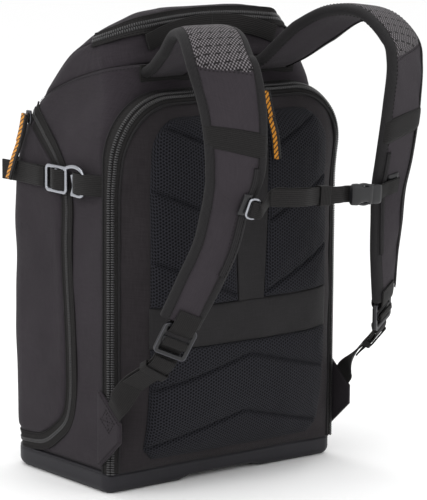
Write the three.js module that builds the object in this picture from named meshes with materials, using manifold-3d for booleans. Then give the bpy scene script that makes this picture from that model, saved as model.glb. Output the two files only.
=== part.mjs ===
// Camera backpack: a hollow cloth body with a zipped back door, a front pocket flap and a zipped lid,
// a padded harness with two shoulder straps, a sternum strap, and a side compression strap with a hook.
// Millimetres, +Z up, the floor at z = 0. The harness side faces -Y and the front pocket faces +Y.
import * as THREE from 'three';
import Module from 'manifold-3d';
import { mergeVertices } from 'three/addons/utils/BufferGeometryUtils.js';

const wasm = await Module();
wasm.setup();

// Main sizes of the bag
const bagWidth = 300;
const bagDepth = 180;
const bagHeight = 490;
const frontCorner = 28;
const rearCorner = 28;
const clothWall = 4;
const clearance = 0.3;

// Moulded base
const baseHeight = 22;
const baseRound = 9;
const baseArchWidth = 104;
const baseArchDepth = 40;
const baseArchHeight = 4;

// Back door and its zip
const doorInset = 12;
const doorTop = 398;
const doorCorner = 58;
const doorCrown = 38;
const doorPanel = 9;
const doorColumns = 10;
const doorRows = 11;
const cornerTurns = 6;
const archLift = 10;
const archLiftStart = 300;
const archLiftEnd = 380;
const zipRoundWall = 2.5;
const coilWidth = 8;
const coilHeight = 1.4;

// Harness padding
const padHalfWidth = 114;
const padTop = 386;
const padBottom = 33;
const padCorner = 40;
const padChamfer = 12;
const padThick = 5;
const padGrooveDepth = 2.6;
const padGrooveWidth = 5;
const bandLow = 152;
const bandHigh = 194;
const bandThick = 2.5;
const channelBottom = 32;
const channelTopWidth = 54;
const channelThick = 2.5;

// Front pocket and lid zips
const pocketThick = 2.6;
const zipTape = 18;
const zipThick = 1.4;
const zipMargin = 1;
const archedRise = 12;
const archedHalf = 120;
const archedFrom = 20;
const archedOver = 80;
const archedSteps = 8;
const capBand = 18;
const capBandThick = 1.6;

// Yoke, webbing and wings
const yokeWebbing = 24;
const yokeHalfWidth = 112;
const yokeThick = 2;
const wingReach = 34;
const wingOverlap = 4;
const wingLow = 30;
const wingHigh = 108;
const wingApex = 70;
const wingThick = 2.6;
const wingOut = 0.75;

// Shoulder straps
const strapThick = 11;
const crossWebbingAt = 0.585;
const crossWebbingSlant = 0.024;
const crossWebbingSpan = 0.035;
const strapSteps = 26;
const railFirst = 17;
const railSteps = 6;
const strapGap = 3;
const buckleShift = 5;
const webbingThick = 1.8;
const railWidth = 5;
const railHeight = 3;
const railInset = 11;
const lowerWebbing = 25;
const buckleLength = 34;
const buckleWidth = 36;
const buckleThick = 5;
const buckleBar = 4.5;
const buckleMidBar = 6;
const lowerSteps = 28;
const tailStart = 15 / 28;
const tailSteps = 5;
const keeperAt = 0.62;
const keeperWall = 1.2;
const keeperLength = 10;

// Sternum strap
const sternumHeight = 320;
const sternumWidth = 17;
const sternumLift = 2.5;
const sternumDrop = 0.068;
const ringWidth = 13;
const ringBar = 2.6;
const ringThick = 2.6;
const clipThick = 2.5;
const foldBulge = 7;
const sternumKeeperLength = 13;
const clipSize = 26;
const sternumBuckleAt = 34;
const sternumBuckleLength = 26;
const buckleSlotBar = 3;
const buckleSlot = 6;
const plugThick = 6;
const sternumBuckleWidth = 22;
const sternumBuckleThick = 9;

// Compression strap with its hook
const compressionMid = 318;
const compressionWidth = 25;
const hookWidth = 38;
const hookThick = 3.5;
const hookBar = 3.4;
const hookCentre = -12;
const hookReach = 28;
const tailEnd = 81;

// Zip sliders and pulls
const doorPullAt = 31;
const sliderWidth = 9;
const sliderThick = 4;
const sliderLength = 14;
const pullWidth = 10;
const pullThick = 2.6;
const pullLength = 68;
const pullSwing = 12;
const pocketPull = { side: 0.977, forward: 0.56, height: 0.765 };

const cornerSteps = 5;
const halfWidth = bagWidth / 2;
const halfDepth = bagDepth / 2;
const seamY = -halfDepth + 8;

// Sections of the bag from the base to the top of the lid, as shares: height of bagHeight, width of
// half the bag's width, front and rear of half its depth, and the two corner radii of theirs.
const BAG_SECTIONS = [
  { height: 0.046, width: 0.987, front: 0.905, rear: 0.911, frontRound: 0.93, rearRound: 0.14 },
  { height: 0.094, width: 1.000, front: 0.940, rear: 0.911, frontRound: 1.00, rearRound: 0.14 },
  { height: 0.184, width: 1.000, front: 0.955, rear: 0.911, frontRound: 1.00, rearRound: 0.14 },
  { height: 0.449, width: 1.000, front: 0.950, rear: 0.911, frontRound: 1.00, rearRound: 0.14 },
  { height: 0.618, width: 1.000, front: 0.940, rear: 0.911, frontRound: 1.00, rearRound: 0.14 },
  { height: 0.688, width: 1.000, front: 0.875, rear: 0.911, frontRound: 1.00, rearRound: 0.20 },
  { height: 0.720, width: 0.990, front: 0.830, rear: 0.911, frontRound: 1.00, rearRound: 0.30 },
  { height: 0.749, width: 0.967, front: 0.800, rear: 0.911, frontRound: 1.00, rearRound: 0.45 },
  { height: 0.776, width: 0.930, front: 0.775, rear: 0.911, frontRound: 1.00, rearRound: 0.65 },
  { height: 0.796, width: 0.900, front: 0.745, rear: 0.911, frontRound: 1.00, rearRound: 0.80 },
  { height: 0.812, width: 0.880, front: 0.705, rear: 0.911, frontRound: 1.00, rearRound: 0.90 },
  { height: 0.835, width: 0.865, front: 0.630, rear: 0.900, frontRound: 1.05, rearRound: 0.95 },
  { height: 0.865, width: 0.853, front: 0.500, rear: 0.844, frontRound: 1.10, rearRound: 1.00 },
  { height: 0.898, width: 0.840, front: 0.333, rear: 0.778, frontRound: 1.15, rearRound: 1.05 },
  { height: 0.922, width: 0.815, front: 0.178, rear: 0.733, frontRound: 1.20, rearRound: 1.15 },
  { height: 0.943, width: 0.767, front: 0.056, rear: 0.711, frontRound: 1.20, rearRound: 1.30 },
  { height: 0.961, width: 0.700, front: -0.111, rear: 0.689, frontRound: 0.90, rearRound: 0.90 },
  { height: 0.978, width: 0.610, front: -0.278, rear: 0.678, frontRound: 0.60, rearRound: 0.60 },
  { height: 0.992, width: 0.500, front: -0.389, rear: 0.656, frontRound: 0.35, rearRound: 0.40 },
  { height: 1.000, width: 0.340, front: -0.467, rear: 0.622, frontRound: 0.20, rearRound: 0.20 },
];

// Points of the lid's seams seen from the side, as shares of half the depth and of the height.
const CAP_SEAM = [
  { forward: 0.90, height: 0.770 }, { forward: 0.50, height: 0.814 }, { forward: -0.07, height: 0.857 },
  { forward: -0.55, height: 0.882 }, { forward: -1.10, height: 0.905 },
];
const LID_ZIP = [
  { forward: 0.90, height: 0.772 }, { forward: 0.53, height: 0.820 }, { forward: 0.34, height: 0.868 },
  { forward: 0.10, height: 0.906 }, { forward: -0.15, height: 0.927 }, { forward: -0.42, height: 0.943 },
  { forward: -0.80, height: 0.962 }, { forward: -1.10, height: 0.966 },
];

// The front pocket's zip seen from the side: across the front, round the low corner, up and forward.
const POCKET_ZIP = [
  { forward: 1.30, height: 0.061 }, { forward: 0.72, height: 0.061 }, { forward: 0.24, height: 0.073 },
  { forward: -0.02, height: 0.100 }, { forward: -0.23, height: 0.135 }, { forward: -0.31, height: 0.184 },
  { forward: -0.31, height: 0.290 }, { forward: -0.23, height: 0.500 }, { forward: -0.23, height: 0.616 },
  { forward: -0.07, height: 0.682 }, { forward: 0.28, height: 0.737 }, { forward: 0.66, height: 0.778 },
];

// Shoulder strap stations from the yoke over the top to its lower end: side and out as shares of half
// the bag's width, height of the bag's, half width as a share of the strap's widest half.
const strapHalf = 36;
const STRAP_STATIONS = [
  { side: 0.447, out: -0.173, height: 0.865, turn: 0, tilt: 0, half: 0.83 },
  { side: 0.467, out: 0.013, height: 0.890, turn: 0, tilt: 0, half: 0.83 },
  { side: 0.547, out: 0.280, height: 0.951, turn: 3, tilt: -13, half: 0.89 },
  { side: 0.620, out: 0.520, height: 0.992, turn: 14, tilt: -10, half: 0.97 },
  { side: 0.700, out: 0.733, height: 0.994, turn: 22, tilt: -6, half: 1.00 },
  { side: 0.770, out: 0.920, height: 0.943, turn: 26, tilt: 0, half: 1.00 },
  { side: 0.760, out: 0.980, height: 0.898, turn: 29, tilt: 0, half: 0.98 },
  { side: 0.720, out: 1.003, height: 0.816, turn: 30, tilt: 0, half: 0.95 },
  { side: 0.687, out: 0.973, height: 0.704, turn: 28, tilt: 0, half: 0.79 },
  { side: 0.707, out: 0.900, height: 0.633, turn: 23, tilt: 0, half: 0.63 },
  { side: 0.740, out: 0.847, height: 0.557, turn: 26, tilt: 0, half: 0.61 },
  { side: 0.807, out: 0.757, height: 0.480, turn: 28, tilt: 0, half: 0.60 },
  { side: 0.893, out: 0.660, height: 0.398, turn: 25, tilt: 0, half: 0.57 },
];

// How the strap on the -X side has settled, by station from the yoke: a drop as a share of bagHeight, a
// further tilt in degrees, and a change of its share of the widest half.
const STRAP_SETTLED = [
  { drop: 0, tilt: 0, half: 0 },
  { drop: 0, tilt: 0, half: 0 },
  { drop: 0.010, tilt: 3, half: -0.02 },
  { drop: 0.020, tilt: 8, half: -0.05 },
  { drop: 0.024, tilt: 9, half: -0.06 },
  { drop: 0.016, tilt: 7, half: -0.05 },
  { drop: 0.007, tilt: 2, half: -0.06 },
  { drop: 0, tilt: 0, half: -0.09 },
];
const UNSETTLED = { drop: 0, tilt: 0, half: 0 };

// Grooves of one upper pad and of the lower pad: the height of each end as a share of the pad's height.
const PAD_GROOVES = [
  { outer: 0.99, inner: 0.80 },
  { outer: 0.63, inner: 0.42 },
  { outer: 0.25, inner: 0.04 },
];
const PAD_CHEVRONS = [
  { apex: 0.88, arm: 0.63 },
  { apex: 0.36, arm: 0.11 },
];

const FINISHES = {
  cloth: { color: 0x37343a, roughness: 0.85, metalness: 0 },
  darkCloth: { color: 0x2b292c, roughness: 0.85, metalness: 0 },
  mesh: { color: 0x1b1c20, roughness: 0.8, metalness: 0 },
  webbing: { color: 0x232423, roughness: 0.75, metalness: 0 },
  zip: { color: 0x18191a, roughness: 0.5, metalness: 0 },
  base: { color: 0x303136, roughness: 0.55, metalness: 0 },
  plastic: { color: 0x1c1d1f, roughness: 0.4, metalness: 0 },
  aluminium: { color: 0xb9bcc0, roughness: 0.35, metalness: 1 },
  cord: { color: 0xc9903a, roughness: 0.8, metalness: 0 },
};

const group = new THREE.Group();

// Joining and cutting

function toSolid(geometry) {
  const bare = geometry.clone();
  bare.deleteAttribute('normal');
  bare.deleteAttribute('uv');
  const merged = mergeVertices(bare, 1e-4);
  const mesh = new wasm.Mesh({
    numProp: 3,
    vertProperties: new Float32Array(merged.attributes.position.array),
    triVerts: new Uint32Array(merged.index.array),
  });
  return new wasm.Manifold(mesh);
}

function toGeometry(solid) {
  const mesh = solid.getMesh();
  const geometry = new THREE.BufferGeometry();
  geometry.setAttribute('position', new THREE.BufferAttribute(mesh.vertProperties, 3));
  geometry.setIndex(new THREE.BufferAttribute(mesh.triVerts, 1));
  return geometry;
}

function add(name, solid, finish) {
  const material = new THREE.MeshStandardMaterial(FINISHES[finish]);
  const mesh = new THREE.Mesh(toGeometry(solid), material);
  mesh.name = name;
  group.add(mesh);
}

function mirrored(solid) {
  return solid.mirror([1, 0, 0]);
}

// Adds a piece on the -X side and its mirror image on the other side.
function addPair(name, solid, finish) {
  add(`${name}_left`, solid, finish);
  add(`${name}_right`, mirrored(solid), finish);
}

// Shapes

// A box of across x along x 1 faces whose points are moved by place(u, v, w), with u and v from 0 to 1
// over its width and length, and w from 0 to 1 through its thickness.
function bent(across, along, place) {
  const box = new THREE.BoxGeometry(1, 1, 1, across, along, 1);
  const points = box.attributes.position;
  for (let i = 0; i < points.count; i += 1) {
    const p = place(points.getX(i) + 0.5, points.getY(i) + 0.5, points.getZ(i) + 0.5);
    points.setXYZ(i, p.x, p.y, p.z);
  }
  return toSolid(facingOut(box));
}

// The same geometry, with the corners of each face in turned order if its faces point inwards.
function facingOut(geometry) {
  const points = geometry.attributes.position;
  const order = geometry.index.array;
  const corner = (i) => new THREE.Vector3().fromBufferAttribute(points, order[i]);
  let volume = 0;
  for (let i = 0; i < order.length; i += 3) volume += corner(i).dot(corner(i + 1).cross(corner(i + 2)));
  if (volume < 0) order.reverse();
  return geometry;
}

function block(low, high) {
  const box = new THREE.BoxGeometry(high[0] - low[0], high[1] - low[1], high[2] - low[2]);
  box.translate((low[0] + high[0]) / 2, (low[1] + high[1]) / 2, (low[2] + high[2]) / 2);
  return toSolid(box);
}

// A prism along X of an outline drawn in (y, z).
function sidePrism(outline, low, high) {
  const shape = new THREE.Shape(outline.map((p) => new THREE.Vector2(p.x, p.y)));
  const prism = new THREE.ExtrudeGeometry(shape, { depth: high - low, bevelEnabled: false });
  prism.applyMatrix4(new THREE.Matrix4().set(0, 0, 1, low, 1, 0, 0, 0, 0, 1, 0, 0, 0, 0, 0, 1));
  return toSolid(prism);
}

// A prism along Y of a shape drawn in (x, z), from Y = low to Y = high.
function facePrism(shape, low, high, curveSegments = 6) {
  const prism = new THREE.ExtrudeGeometry(shape, { depth: high - low, bevelEnabled: false, curveSegments });
  prism.applyMatrix4(new THREE.Matrix4().set(1, 0, 0, 0, 0, 0, -1, high, 0, 1, 0, 0, 0, 0, 0, 1));
  return toSolid(prism);
}

// One closed ring of a bag section, as a few points on each of its four rounded corners.
function sectionRing(section, offset) {
  const w = section.width * halfWidth + offset;
  const f = section.front * halfDepth + offset;
  const r = -section.rear * halfDepth - offset;
  const most = Math.min(w, (f - r) / 2) - 0.5;
  const front = Math.min(Math.max(section.frontRound * frontCorner + offset, 1), most);
  const rear = Math.min(Math.max(section.rearRound * rearCorner + offset, 1), most);
  const corners = [
    { x: w - front, y: f - front, round: front, start: 0 },
    { x: -w + front, y: f - front, round: front, start: 1 },
    { x: -w + rear, y: r + rear, round: rear, start: 2 },
    { x: w - rear, y: r + rear, round: rear, start: 3 },
  ];
  const ring = [];
  corners.forEach((corner) => {
    for (let k = 0; k < cornerSteps; k += 1) {
      const angle = (corner.start + k / (cornerSteps - 1)) * Math.PI / 2;
      ring.push([corner.x + corner.round * Math.cos(angle), corner.y + corner.round * Math.sin(angle)]);
    }
  });
  return ring;
}

// The bag's whole outer form, grown outwards by offset, as a cylinder whose rings become its sections.
function bagForm(offset, bottom = baseHeight + clearance) {
  const rings = BAG_SECTIONS.map((section, i) => {
    const top = i === BAG_SECTIONS.length - 1 ? offset : 0;
    return { z: section.height * bagHeight + top, ring: sectionRing(section, offset) };
  });
  rings[0].z = bottom;
  const sides = 4 * cornerSteps;
  const levels = rings.length - 1;
  const tube = new THREE.CylinderGeometry(1, 1, 1, sides, levels);
  const points = tube.attributes.position;
  for (let i = 0; i < points.count; i += 1) {
    const level = rings[Math.round((points.getY(i) + 0.5) * levels)];
    const radius = Math.hypot(points.getX(i), points.getZ(i));
    const angle = Math.atan2(points.getX(i), points.getZ(i));
    const step = ((Math.round(angle / (2 * Math.PI) * sides) % sides) + sides) % sides;
    const p = radius < 0.5 ? middle(level.ring) : level.ring[step];
    points.setXYZ(i, p[0], p[1], level.z);
  }
  return toSolid(tube);
}

function middle(ring) {
  const sum = ring.reduce((a, p) => [a[0] + p[0], a[1] + p[1]], [0, 0]);
  return [sum[0] / ring.length, sum[1] / ring.length];
}

// The bag's form between two offsets, a skin that lies on its outside.
function bagSkin(under, over) {
  return bagForm(over, baseHeight + clearance).subtract(bagForm(under, 0));
}

// A side-view table of shares as points in millimetres.
function sidePoints(table) {
  return table.map((row) => new THREE.Vector2(row.forward * halfDepth, row.height * bagHeight));
}

// A smooth side-view line through the rows of a table.
function sideLine(table, steps) {
  return new THREE.SplineCurve(sidePoints(table)).getPoints(steps);
}

// The band of the given half width about a side-view line.
function lineBand(line, half) {
  const shifted = (side) => line.map((p, i) => {
    const a = line[Math.max(i - 1, 0)];
    const b = line[Math.min(i + 1, line.length - 1)];
    const along = b.clone().sub(a).normalize();
    return new THREE.Vector2(p.x - along.y * half * side, p.y + along.x * half * side);
  });
  return [...shifted(1), ...shifted(-1).reverse()];
}

// Base

function makeBase() {
  const rows = [
    { z: 0, inset: baseRound },
    { z: baseRound * 0.3, inset: baseRound * 0.3 },
    { z: baseRound, inset: 0 },
    { z: baseHeight, inset: 0 },
  ];
  const sides = 4 * cornerSteps;
  const tube = new THREE.CylinderGeometry(1, 1, 1, sides, rows.length - 1);
  const points = tube.attributes.position;
  const foot = { width: 1, front: 0.967, rear: 1.01, frontRound: 1, rearRound: 0.45 };
  for (let i = 0; i < points.count; i += 1) {
    const row = rows[Math.round((points.getY(i) + 0.5) * (rows.length - 1))];
    const radius = Math.hypot(points.getX(i), points.getZ(i));
    const angle = Math.atan2(points.getX(i), points.getZ(i));
    const step = ((Math.round(angle / (2 * Math.PI) * sides) % sides) + sides) % sides;
    const ring = sectionRing(foot, -row.inset);
    const p = radius < 0.5 ? middle(ring) : ring[step];
    points.setXYZ(i, p[0], p[1], row.z);
  }
  let tray = toSolid(tube);
  [-1, 1].forEach((side) => {
    const y = side * halfDepth;
    const arch = new THREE.Shape();
    arch.moveTo(-baseArchWidth / 2, -1);
    arch.lineTo(baseArchWidth / 2, -1);
    arch.lineTo(baseArchWidth / 2 - baseArchHeight, baseArchHeight);
    arch.lineTo(-baseArchWidth / 2 + baseArchHeight, baseArchHeight);
    const low = Math.min(y, y - side * baseArchDepth) - (side < 0 ? 10 : 0);
    const high = Math.max(y, y - side * baseArchDepth) + (side > 0 ? 10 : 0);
    tray = tray.subtract(facePrism(arch, low, high));
  });
  add('base_tray', tray, 'base');
}

// Body, lid and the zips that lie on them

// How far the lid's zip rises in the middle of the rear above its height at the sides.
function archRise(x, y) {
  const t = Math.min(Math.max((archedFrom - y) / archedOver, 0), 1);
  return archedRise * Math.max(1 - (x / archedHalf) ** 2, 0) * t * t * (3 - 2 * t);
}

// The space over a side-view line that is arched at the rear, or under it, moved up by lift.
function beside(line, over, lift) {
  const far = over ? 2 * bagHeight : -bagHeight;
  return bent(archedSteps, line.length - 1, (u, v, w) => {
    const p = line[Math.round(v * (line.length - 1))];
    const x = (2 * u - 1) * (halfWidth + archedHalf / 4);
    return new THREE.Vector3(x, p.x, w < 0.5 ? p.y + lift + archRise(x, p.x) : far);
  });
}

// The outline of the door at a distance outside its zip's centre arc, drawn in (x, z).
function doorOutline(grow, bottom) {
  const w = halfWidth - doorInset + grow;
  const top = doorTop + grow;
  const r = doorCorner + grow;
  const shape = new THREE.Shape();
  shape.moveTo(-w, bottom);
  shape.lineTo(w, bottom);
  shape.lineTo(w, top - r);
  shape.absarc(w - r, top - r, r, 0, Math.PI / 2, false);
  shape.lineTo(-w + r, top);
  shape.absarc(-w + r, top - r, r, Math.PI / 2, Math.PI, false);
  shape.lineTo(-w, bottom);
  return shape;
}

function makeBody() {
  const seam = sideLine(CAP_SEAM, 8);
  const zip = sideLine(LID_ZIP, 9);
  const outer = bagForm(0);
  const inner = bagForm(-clothWall, baseHeight + clothWall);
  const floorCut = block([-bagWidth, -bagDepth, baseHeight], [bagWidth, bagDepth, baseHeight + clothWall]);
  const hollow = inner.subtract(floorCut);
  const shell = outer.subtract(hollow);
  const doorway = facePrism(doorOutline(doorInset - clothWall, baseHeight + clothWall),
    -bagDepth, seamY + clothWall + 1);
  const capSpace = (shift) => sidePrism([
    ...seam.map((p) => new THREE.Vector2(p.x, p.y + shift)),
    new THREE.Vector2(-bagDepth, bagHeight * 2),
    new THREE.Vector2(bagDepth, bagHeight * 2),
    new THREE.Vector2(bagDepth, seam[0].y + shift),
  ], -bagWidth, bagWidth);
  add('body_shell', shell.subtract(capSpace(-clearance / 2)).subtract(doorway), 'cloth');
  const cap = shell.intersect(capSpace(clearance / 2));
  const lidSpace = beside(zip, true, clearance / 2);
  add('cap_gusset', cap.subtract(beside(zip, true, -clearance / 2)), 'cloth');
  add('lid', cap.intersect(lidSpace), 'cloth');
}

function makeFrontPocket() {
  const line = sideLine(POCKET_ZIP, 16);
  const inFront = (shift) => {
    const edge = lineBand(line, shift).slice(0, line.length);
    const end = edge[edge.length - 1];
    const out = new THREE.Vector2(bagDepth, end.y);
    return sidePrism([...edge, out, new THREE.Vector2(bagDepth, edge[0].y)], -bagWidth, bagWidth);
  };
  const skin = bagSkin(clearance, pocketThick);
  add('front_pocket', skin.intersect(inFront(-zipTape / 2 - clearance)), 'cloth');
  const tape = bagSkin(clearance, clearance + zipThick);
  add('pocket_zip', tape.intersect(sidePrism(lineBand(line, zipTape / 2), -bagWidth, bagWidth)), 'zip');
}

function makeLidZip() {
  const line = sideLine(LID_ZIP, 9);
  const tape = bagSkin(clearance, clearance + zipThick);
  const edge = (side) => lineBand(line, zipTape / 2 * side).slice(0, line.length);
  const front = line[0].x - halfDepth * 0.41;
  const keep = block([-bagWidth, -bagDepth, 0], [bagWidth, front, bagHeight * 2]);
  const lower = edge(1);
  const band = beside(lower, true, 0).subtract(beside(edge(-1), true, 0)).intersect(keep);
  add('lid_zip', tape.intersect(band), 'zip');
  const strip = beside(lower, true, -zipMargin - capBand).subtract(beside(lower, true, -zipMargin));
  const sides = block([-halfWidth * 0.6, -bagDepth, 0], [halfWidth * 0.6, -halfDepth * 0.55, bagHeight]);
  const bandSkin = bagSkin(clearance, clearance + capBandThick);
  add('cap_rear_band', bandSkin.intersect(strip).intersect(sides), 'webbing');
}

// Back door, its zip and its padding

function doorHalf(z) {
  const half = halfWidth - doorInset;
  const up = z - (doorTop - doorCorner);
  if (up <= 0) return half;
  return half - doorCorner + Math.sqrt(Math.max(doorCorner ** 2 - up ** 2, 0));
}

function archOut(z) {
  const t = Math.min(Math.max((z - archLiftStart) / (archLiftEnd - archLiftStart), 0), 1);
  return archLift * t * t * (3 - 2 * t);
}

// The door's outer surface: flat at its edge, swelling towards its middle.
function doorY(x, z) {
  const across = Math.min(Math.abs(x) / doorHalf(z), 1);
  const middleZ = (doorTop + baseHeight) / 2;
  const up = Math.min(Math.abs(z - middleZ) / (doorTop - middleZ), 1);
  const swell = doorCrown * (1 - across ** 3.85) * (1 - up ** 3.8);
  return seamY - clearance - doorInset - archOut(z) - swell;
}

// Everything behind a surface that lies at a height above the door's.
function doorSlab(height) {
  const half = halfWidth - doorInset;
  const low = baseHeight + clearance;
  return bent(doorColumns, doorRows, (u, v, w) => {
    const x = half * (2 * u - 1);
    const z = low + (doorTop - low) * v;
    return new THREE.Vector3(x, w > 0.5 ? doorY(x, z) - height : 0, z);
  });
}

// A sheet over the whole door between two heights above its surface.
function doorLayer(under, over) {
  return doorSlab(over).subtract(doorSlab(under));
}

// The zip's route round the door, up one side, over the arch and down the other, with its outward turn.
function archRoute() {
  const half = halfWidth - doorInset;
  const low = baseHeight + clearance;
  const centreZ = doorTop - doorCorner;
  const route = [];
  const upright = 5;
  for (let i = 0; i <= upright; i += 1) {
    route.push({ x: -half, z: low + (centreZ - low) * i / upright, nx: -1, nz: 0 });
  }
  for (let i = 1; i <= cornerTurns; i += 1) {
    const a = Math.PI - (i / cornerTurns) * Math.PI / 2;
    route.push({
      x: -half + doorCorner + doorCorner * Math.cos(a),
      z: centreZ + doorCorner * Math.sin(a),
      nx: Math.cos(a),
      nz: Math.sin(a),
    });
  }
  const other = route.map((p) => ({ ...p, x: -p.x, nx: -p.nx })).reverse();
  return [...route, ...other];
}

// A band on the rounded edge of the door, between two angles from the side, at a distance from its centre.
function archBand(fromDegrees, toDegrees, under, over, across) {
  const route = archRoute();
  return bent(across, route.length - 1, (u, v, w) => {
    const p = route[Math.round(v * (route.length - 1))];
    const angle = THREE.MathUtils.degToRad(toDegrees + (fromDegrees - toDegrees) * u);
    const reach = under + (over - under) * w;
    const out = reach * Math.cos(angle);
    const back = (reach + archOut(p.z) * (reach / doorInset)) * Math.sin(angle);
    return new THREE.Vector3(p.x + p.nx * out, seamY - clearance - back, p.z + p.nz * out);
  });
}

function roundedRect(x0, z0, x1, z1, radii) {
  const [lowLeft, lowRight, highRight, highLeft] = radii;
  const shape = new THREE.Shape();
  shape.moveTo(x0 + lowLeft, z0);
  shape.lineTo(x1 - lowRight, z0);
  if (lowRight) shape.absarc(x1 - lowRight, z0 + lowRight, lowRight, -Math.PI / 2, 0, false);
  shape.lineTo(x1, z1 - highRight);
  if (highRight) shape.absarc(x1 - highRight, z1 - highRight, highRight, 0, Math.PI / 2, false);
  shape.lineTo(x0 + highLeft, z1);
  if (highLeft) shape.absarc(x0 + highLeft, z1 - highLeft, highLeft, Math.PI / 2, Math.PI, false);
  shape.lineTo(x0, z0 + lowLeft);
  if (lowLeft) shape.absarc(x0 + lowLeft, z0 + lowLeft, lowLeft, Math.PI, 1.5 * Math.PI, false);
  return shape;
}

function facePrismThrough(shape) {
  return facePrism(shape, -bagDepth, 0, cornerTurns / 2);
}

// A groove pressed into a pad along a line of (x, z) points.
function groove(points) {
  const line = points.map((p) => new THREE.Vector2(p[0], p[1]));
  const strip = new THREE.Shape(lineBand(line, padGrooveWidth / 2));
  const floor = padThick - padGrooveDepth;
  return doorLayer(floor, padThick * 3).intersect(facePrismThrough(strip));
}

function makeDoor() {
  const bottom = baseHeight + clearance;
  const panel = doorLayer(-doorPanel, 0).intersect(facePrismThrough(doorOutline(-clearance, bottom)));
  add('back_door', panel, 'cloth');
  add('door_zip_tape', archBand(0, 90, doorInset - zipRoundWall, doorInset, 4), 'zip');
  const coilTurn = THREE.MathUtils.radToDeg(coilWidth / 2 / doorInset);
  const coilUnder = doorInset + 2 * clearance;
  const coil = archBand(45 - coilTurn, 45 + coilTurn, coilUnder, coilUnder + coilHeight, 2);
  add('door_zip_coil', coil, 'zip');
}

function makePads() {
  const channelLow = channelBottom / 2;
  const channelHigh = channelTopWidth / 2;
  const innerEdge = (z) => channelLow + (channelHigh - channelLow) * (z - bandHigh) / (padTop - bandHigh);
  const upper = roundedRect(-padHalfWidth, bandHigh + clearance, padHalfWidth, padTop,
    [0, 0, padCorner, padCorner]);
  const upperLayer = doorLayer(clearance, padThick).intersect(facePrismThrough(upper));
  [-1, 1].forEach((way) => {
    const side = new THREE.Shape();
    side.moveTo(way * (padHalfWidth + 1), bandHigh - 1);
    side.lineTo(way * (innerEdge(bandHigh) + clearance), bandHigh - 1);
    side.lineTo(way * (innerEdge(padTop) + clearance), padTop + 1);
    side.lineTo(way * (padHalfWidth + 1), padTop + 1);
    let pad = upperLayer.intersect(facePrismThrough(side));
    PAD_GROOVES.forEach((row) => {
      const outerZ = bandHigh + row.outer * (padTop - bandHigh);
      const innerZ = bandHigh + row.inner * (padTop - bandHigh);
      const inner = innerEdge(innerZ) + padGrooveWidth;
      pad = pad.subtract(groove([[way * padHalfWidth, outerZ], [way * inner, innerZ]]));
    });
    add(way < 0 ? 'upper_pad_left' : 'upper_pad_right', pad, 'mesh');
  });
  const channel = new THREE.Shape();
  channel.moveTo(-innerEdge(bandHigh), bandHigh + clearance);
  channel.lineTo(innerEdge(bandHigh), bandHigh + clearance);
  channel.lineTo(innerEdge(padTop), padTop);
  channel.lineTo(-innerEdge(padTop), padTop);
  const channelLayer = doorLayer(clearance, channelThick);
  add('centre_channel', channelLayer.intersect(facePrismThrough(channel)), 'darkCloth');
  const sleeve = roundedRect(-padHalfWidth, bandLow, padHalfWidth, bandHigh, [0, 0, 0, 0]);
  add('luggage_band', doorLayer(clearance, bandThick).intersect(facePrismThrough(sleeve)), 'darkCloth');
  const lower = roundedRect(-padHalfWidth, padBottom, padHalfWidth, bandLow - clearance,
    [padChamfer, padChamfer, 0, 0]);
  let lowerPad = doorLayer(clearance, padThick).intersect(facePrismThrough(lower));
  PAD_CHEVRONS.forEach((row) => {
    const apex = padBottom + row.apex * (bandLow - padBottom);
    const arm = padBottom + row.arm * (bandLow - padBottom);
    lowerPad = lowerPad.subtract(groove([[-padHalfWidth, arm], [0, apex], [padHalfWidth, arm]]));
  });
  add('lower_pad', lowerPad, 'mesh');
}

function makeYoke() {
  const low = doorTop + doorInset + zipMargin;
  const strip = block([-yokeHalfWidth, -bagDepth, low], [yokeHalfWidth, 0, low + yokeWebbing]);
  add('yoke_webbing', bagSkin(clearance, clearance + yokeThick).intersect(strip), 'webbing');
}

function makeWings() {
  const outline = [
    new THREE.Vector2(seamY + wingOverlap, wingLow),
    new THREE.Vector2(seamY + wingOverlap, wingHigh),
    new THREE.Vector2(seamY, wingHigh),
    new THREE.Vector2(seamY - wingReach, wingApex + lowerWebbing * 0.4),
    new THREE.Vector2(seamY - wingReach, wingApex - lowerWebbing * 0.4),
    new THREE.Vector2(seamY, wingLow),
  ];
  const x = -halfWidth - wingOut;
  addPair('wing', sidePrism(outline, x - wingThick, x), 'cloth');
}

// Shoulder straps

// A strap on the -X side as its stations and the line through their middles.
function strapCourse(settling) {
  const knots = STRAP_STATIONS.map((row, i) => {
    const settled = settling[i] || UNSETTLED;
    const height = row.height - settled.drop;
    return {
      centre: new THREE.Vector3(-row.side * halfWidth, -halfDepth - row.out * halfWidth, height * bagHeight),
      turn: THREE.MathUtils.degToRad(row.turn),
      tilt: THREE.MathUtils.degToRad(row.tilt + settled.tilt),
      half: (row.half + settled.half) * strapHalf,
    };
  });
  return { knots, line: new THREE.CatmullRomCurve3(knots.map((k) => k.centre), false, 'centripetal') };
}

const restingStrap = strapCourse([]);
const settledStrap = strapCourse(STRAP_SETTLED);

// The strap's centre, its direction, the way from its outer to its inner edge, and its face's way out.
function strapFrame(t, { knots, line } = restingStrap) {
  const place = t * (knots.length - 1);
  const i = Math.min(Math.floor(place), knots.length - 2);
  const mix = (name) => knots[i][name] + (knots[i + 1][name] - knots[i][name]) * (place - i);
  const turn = mix('turn');
  const tilt = mix('tilt');
  const along = line.getTangent(t);
  const inward = new THREE.Vector3(Math.cos(turn) * Math.cos(tilt), -Math.sin(turn) * Math.cos(tilt),
    -Math.sin(tilt));
  inward.addScaledVector(along, -inward.dot(along)).normalize();
  const out = new THREE.Vector3().crossVectors(inward, along).negate();
  return { centre: line.getPoint(t), along, inward, out, half: mix('half') };
}

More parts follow.
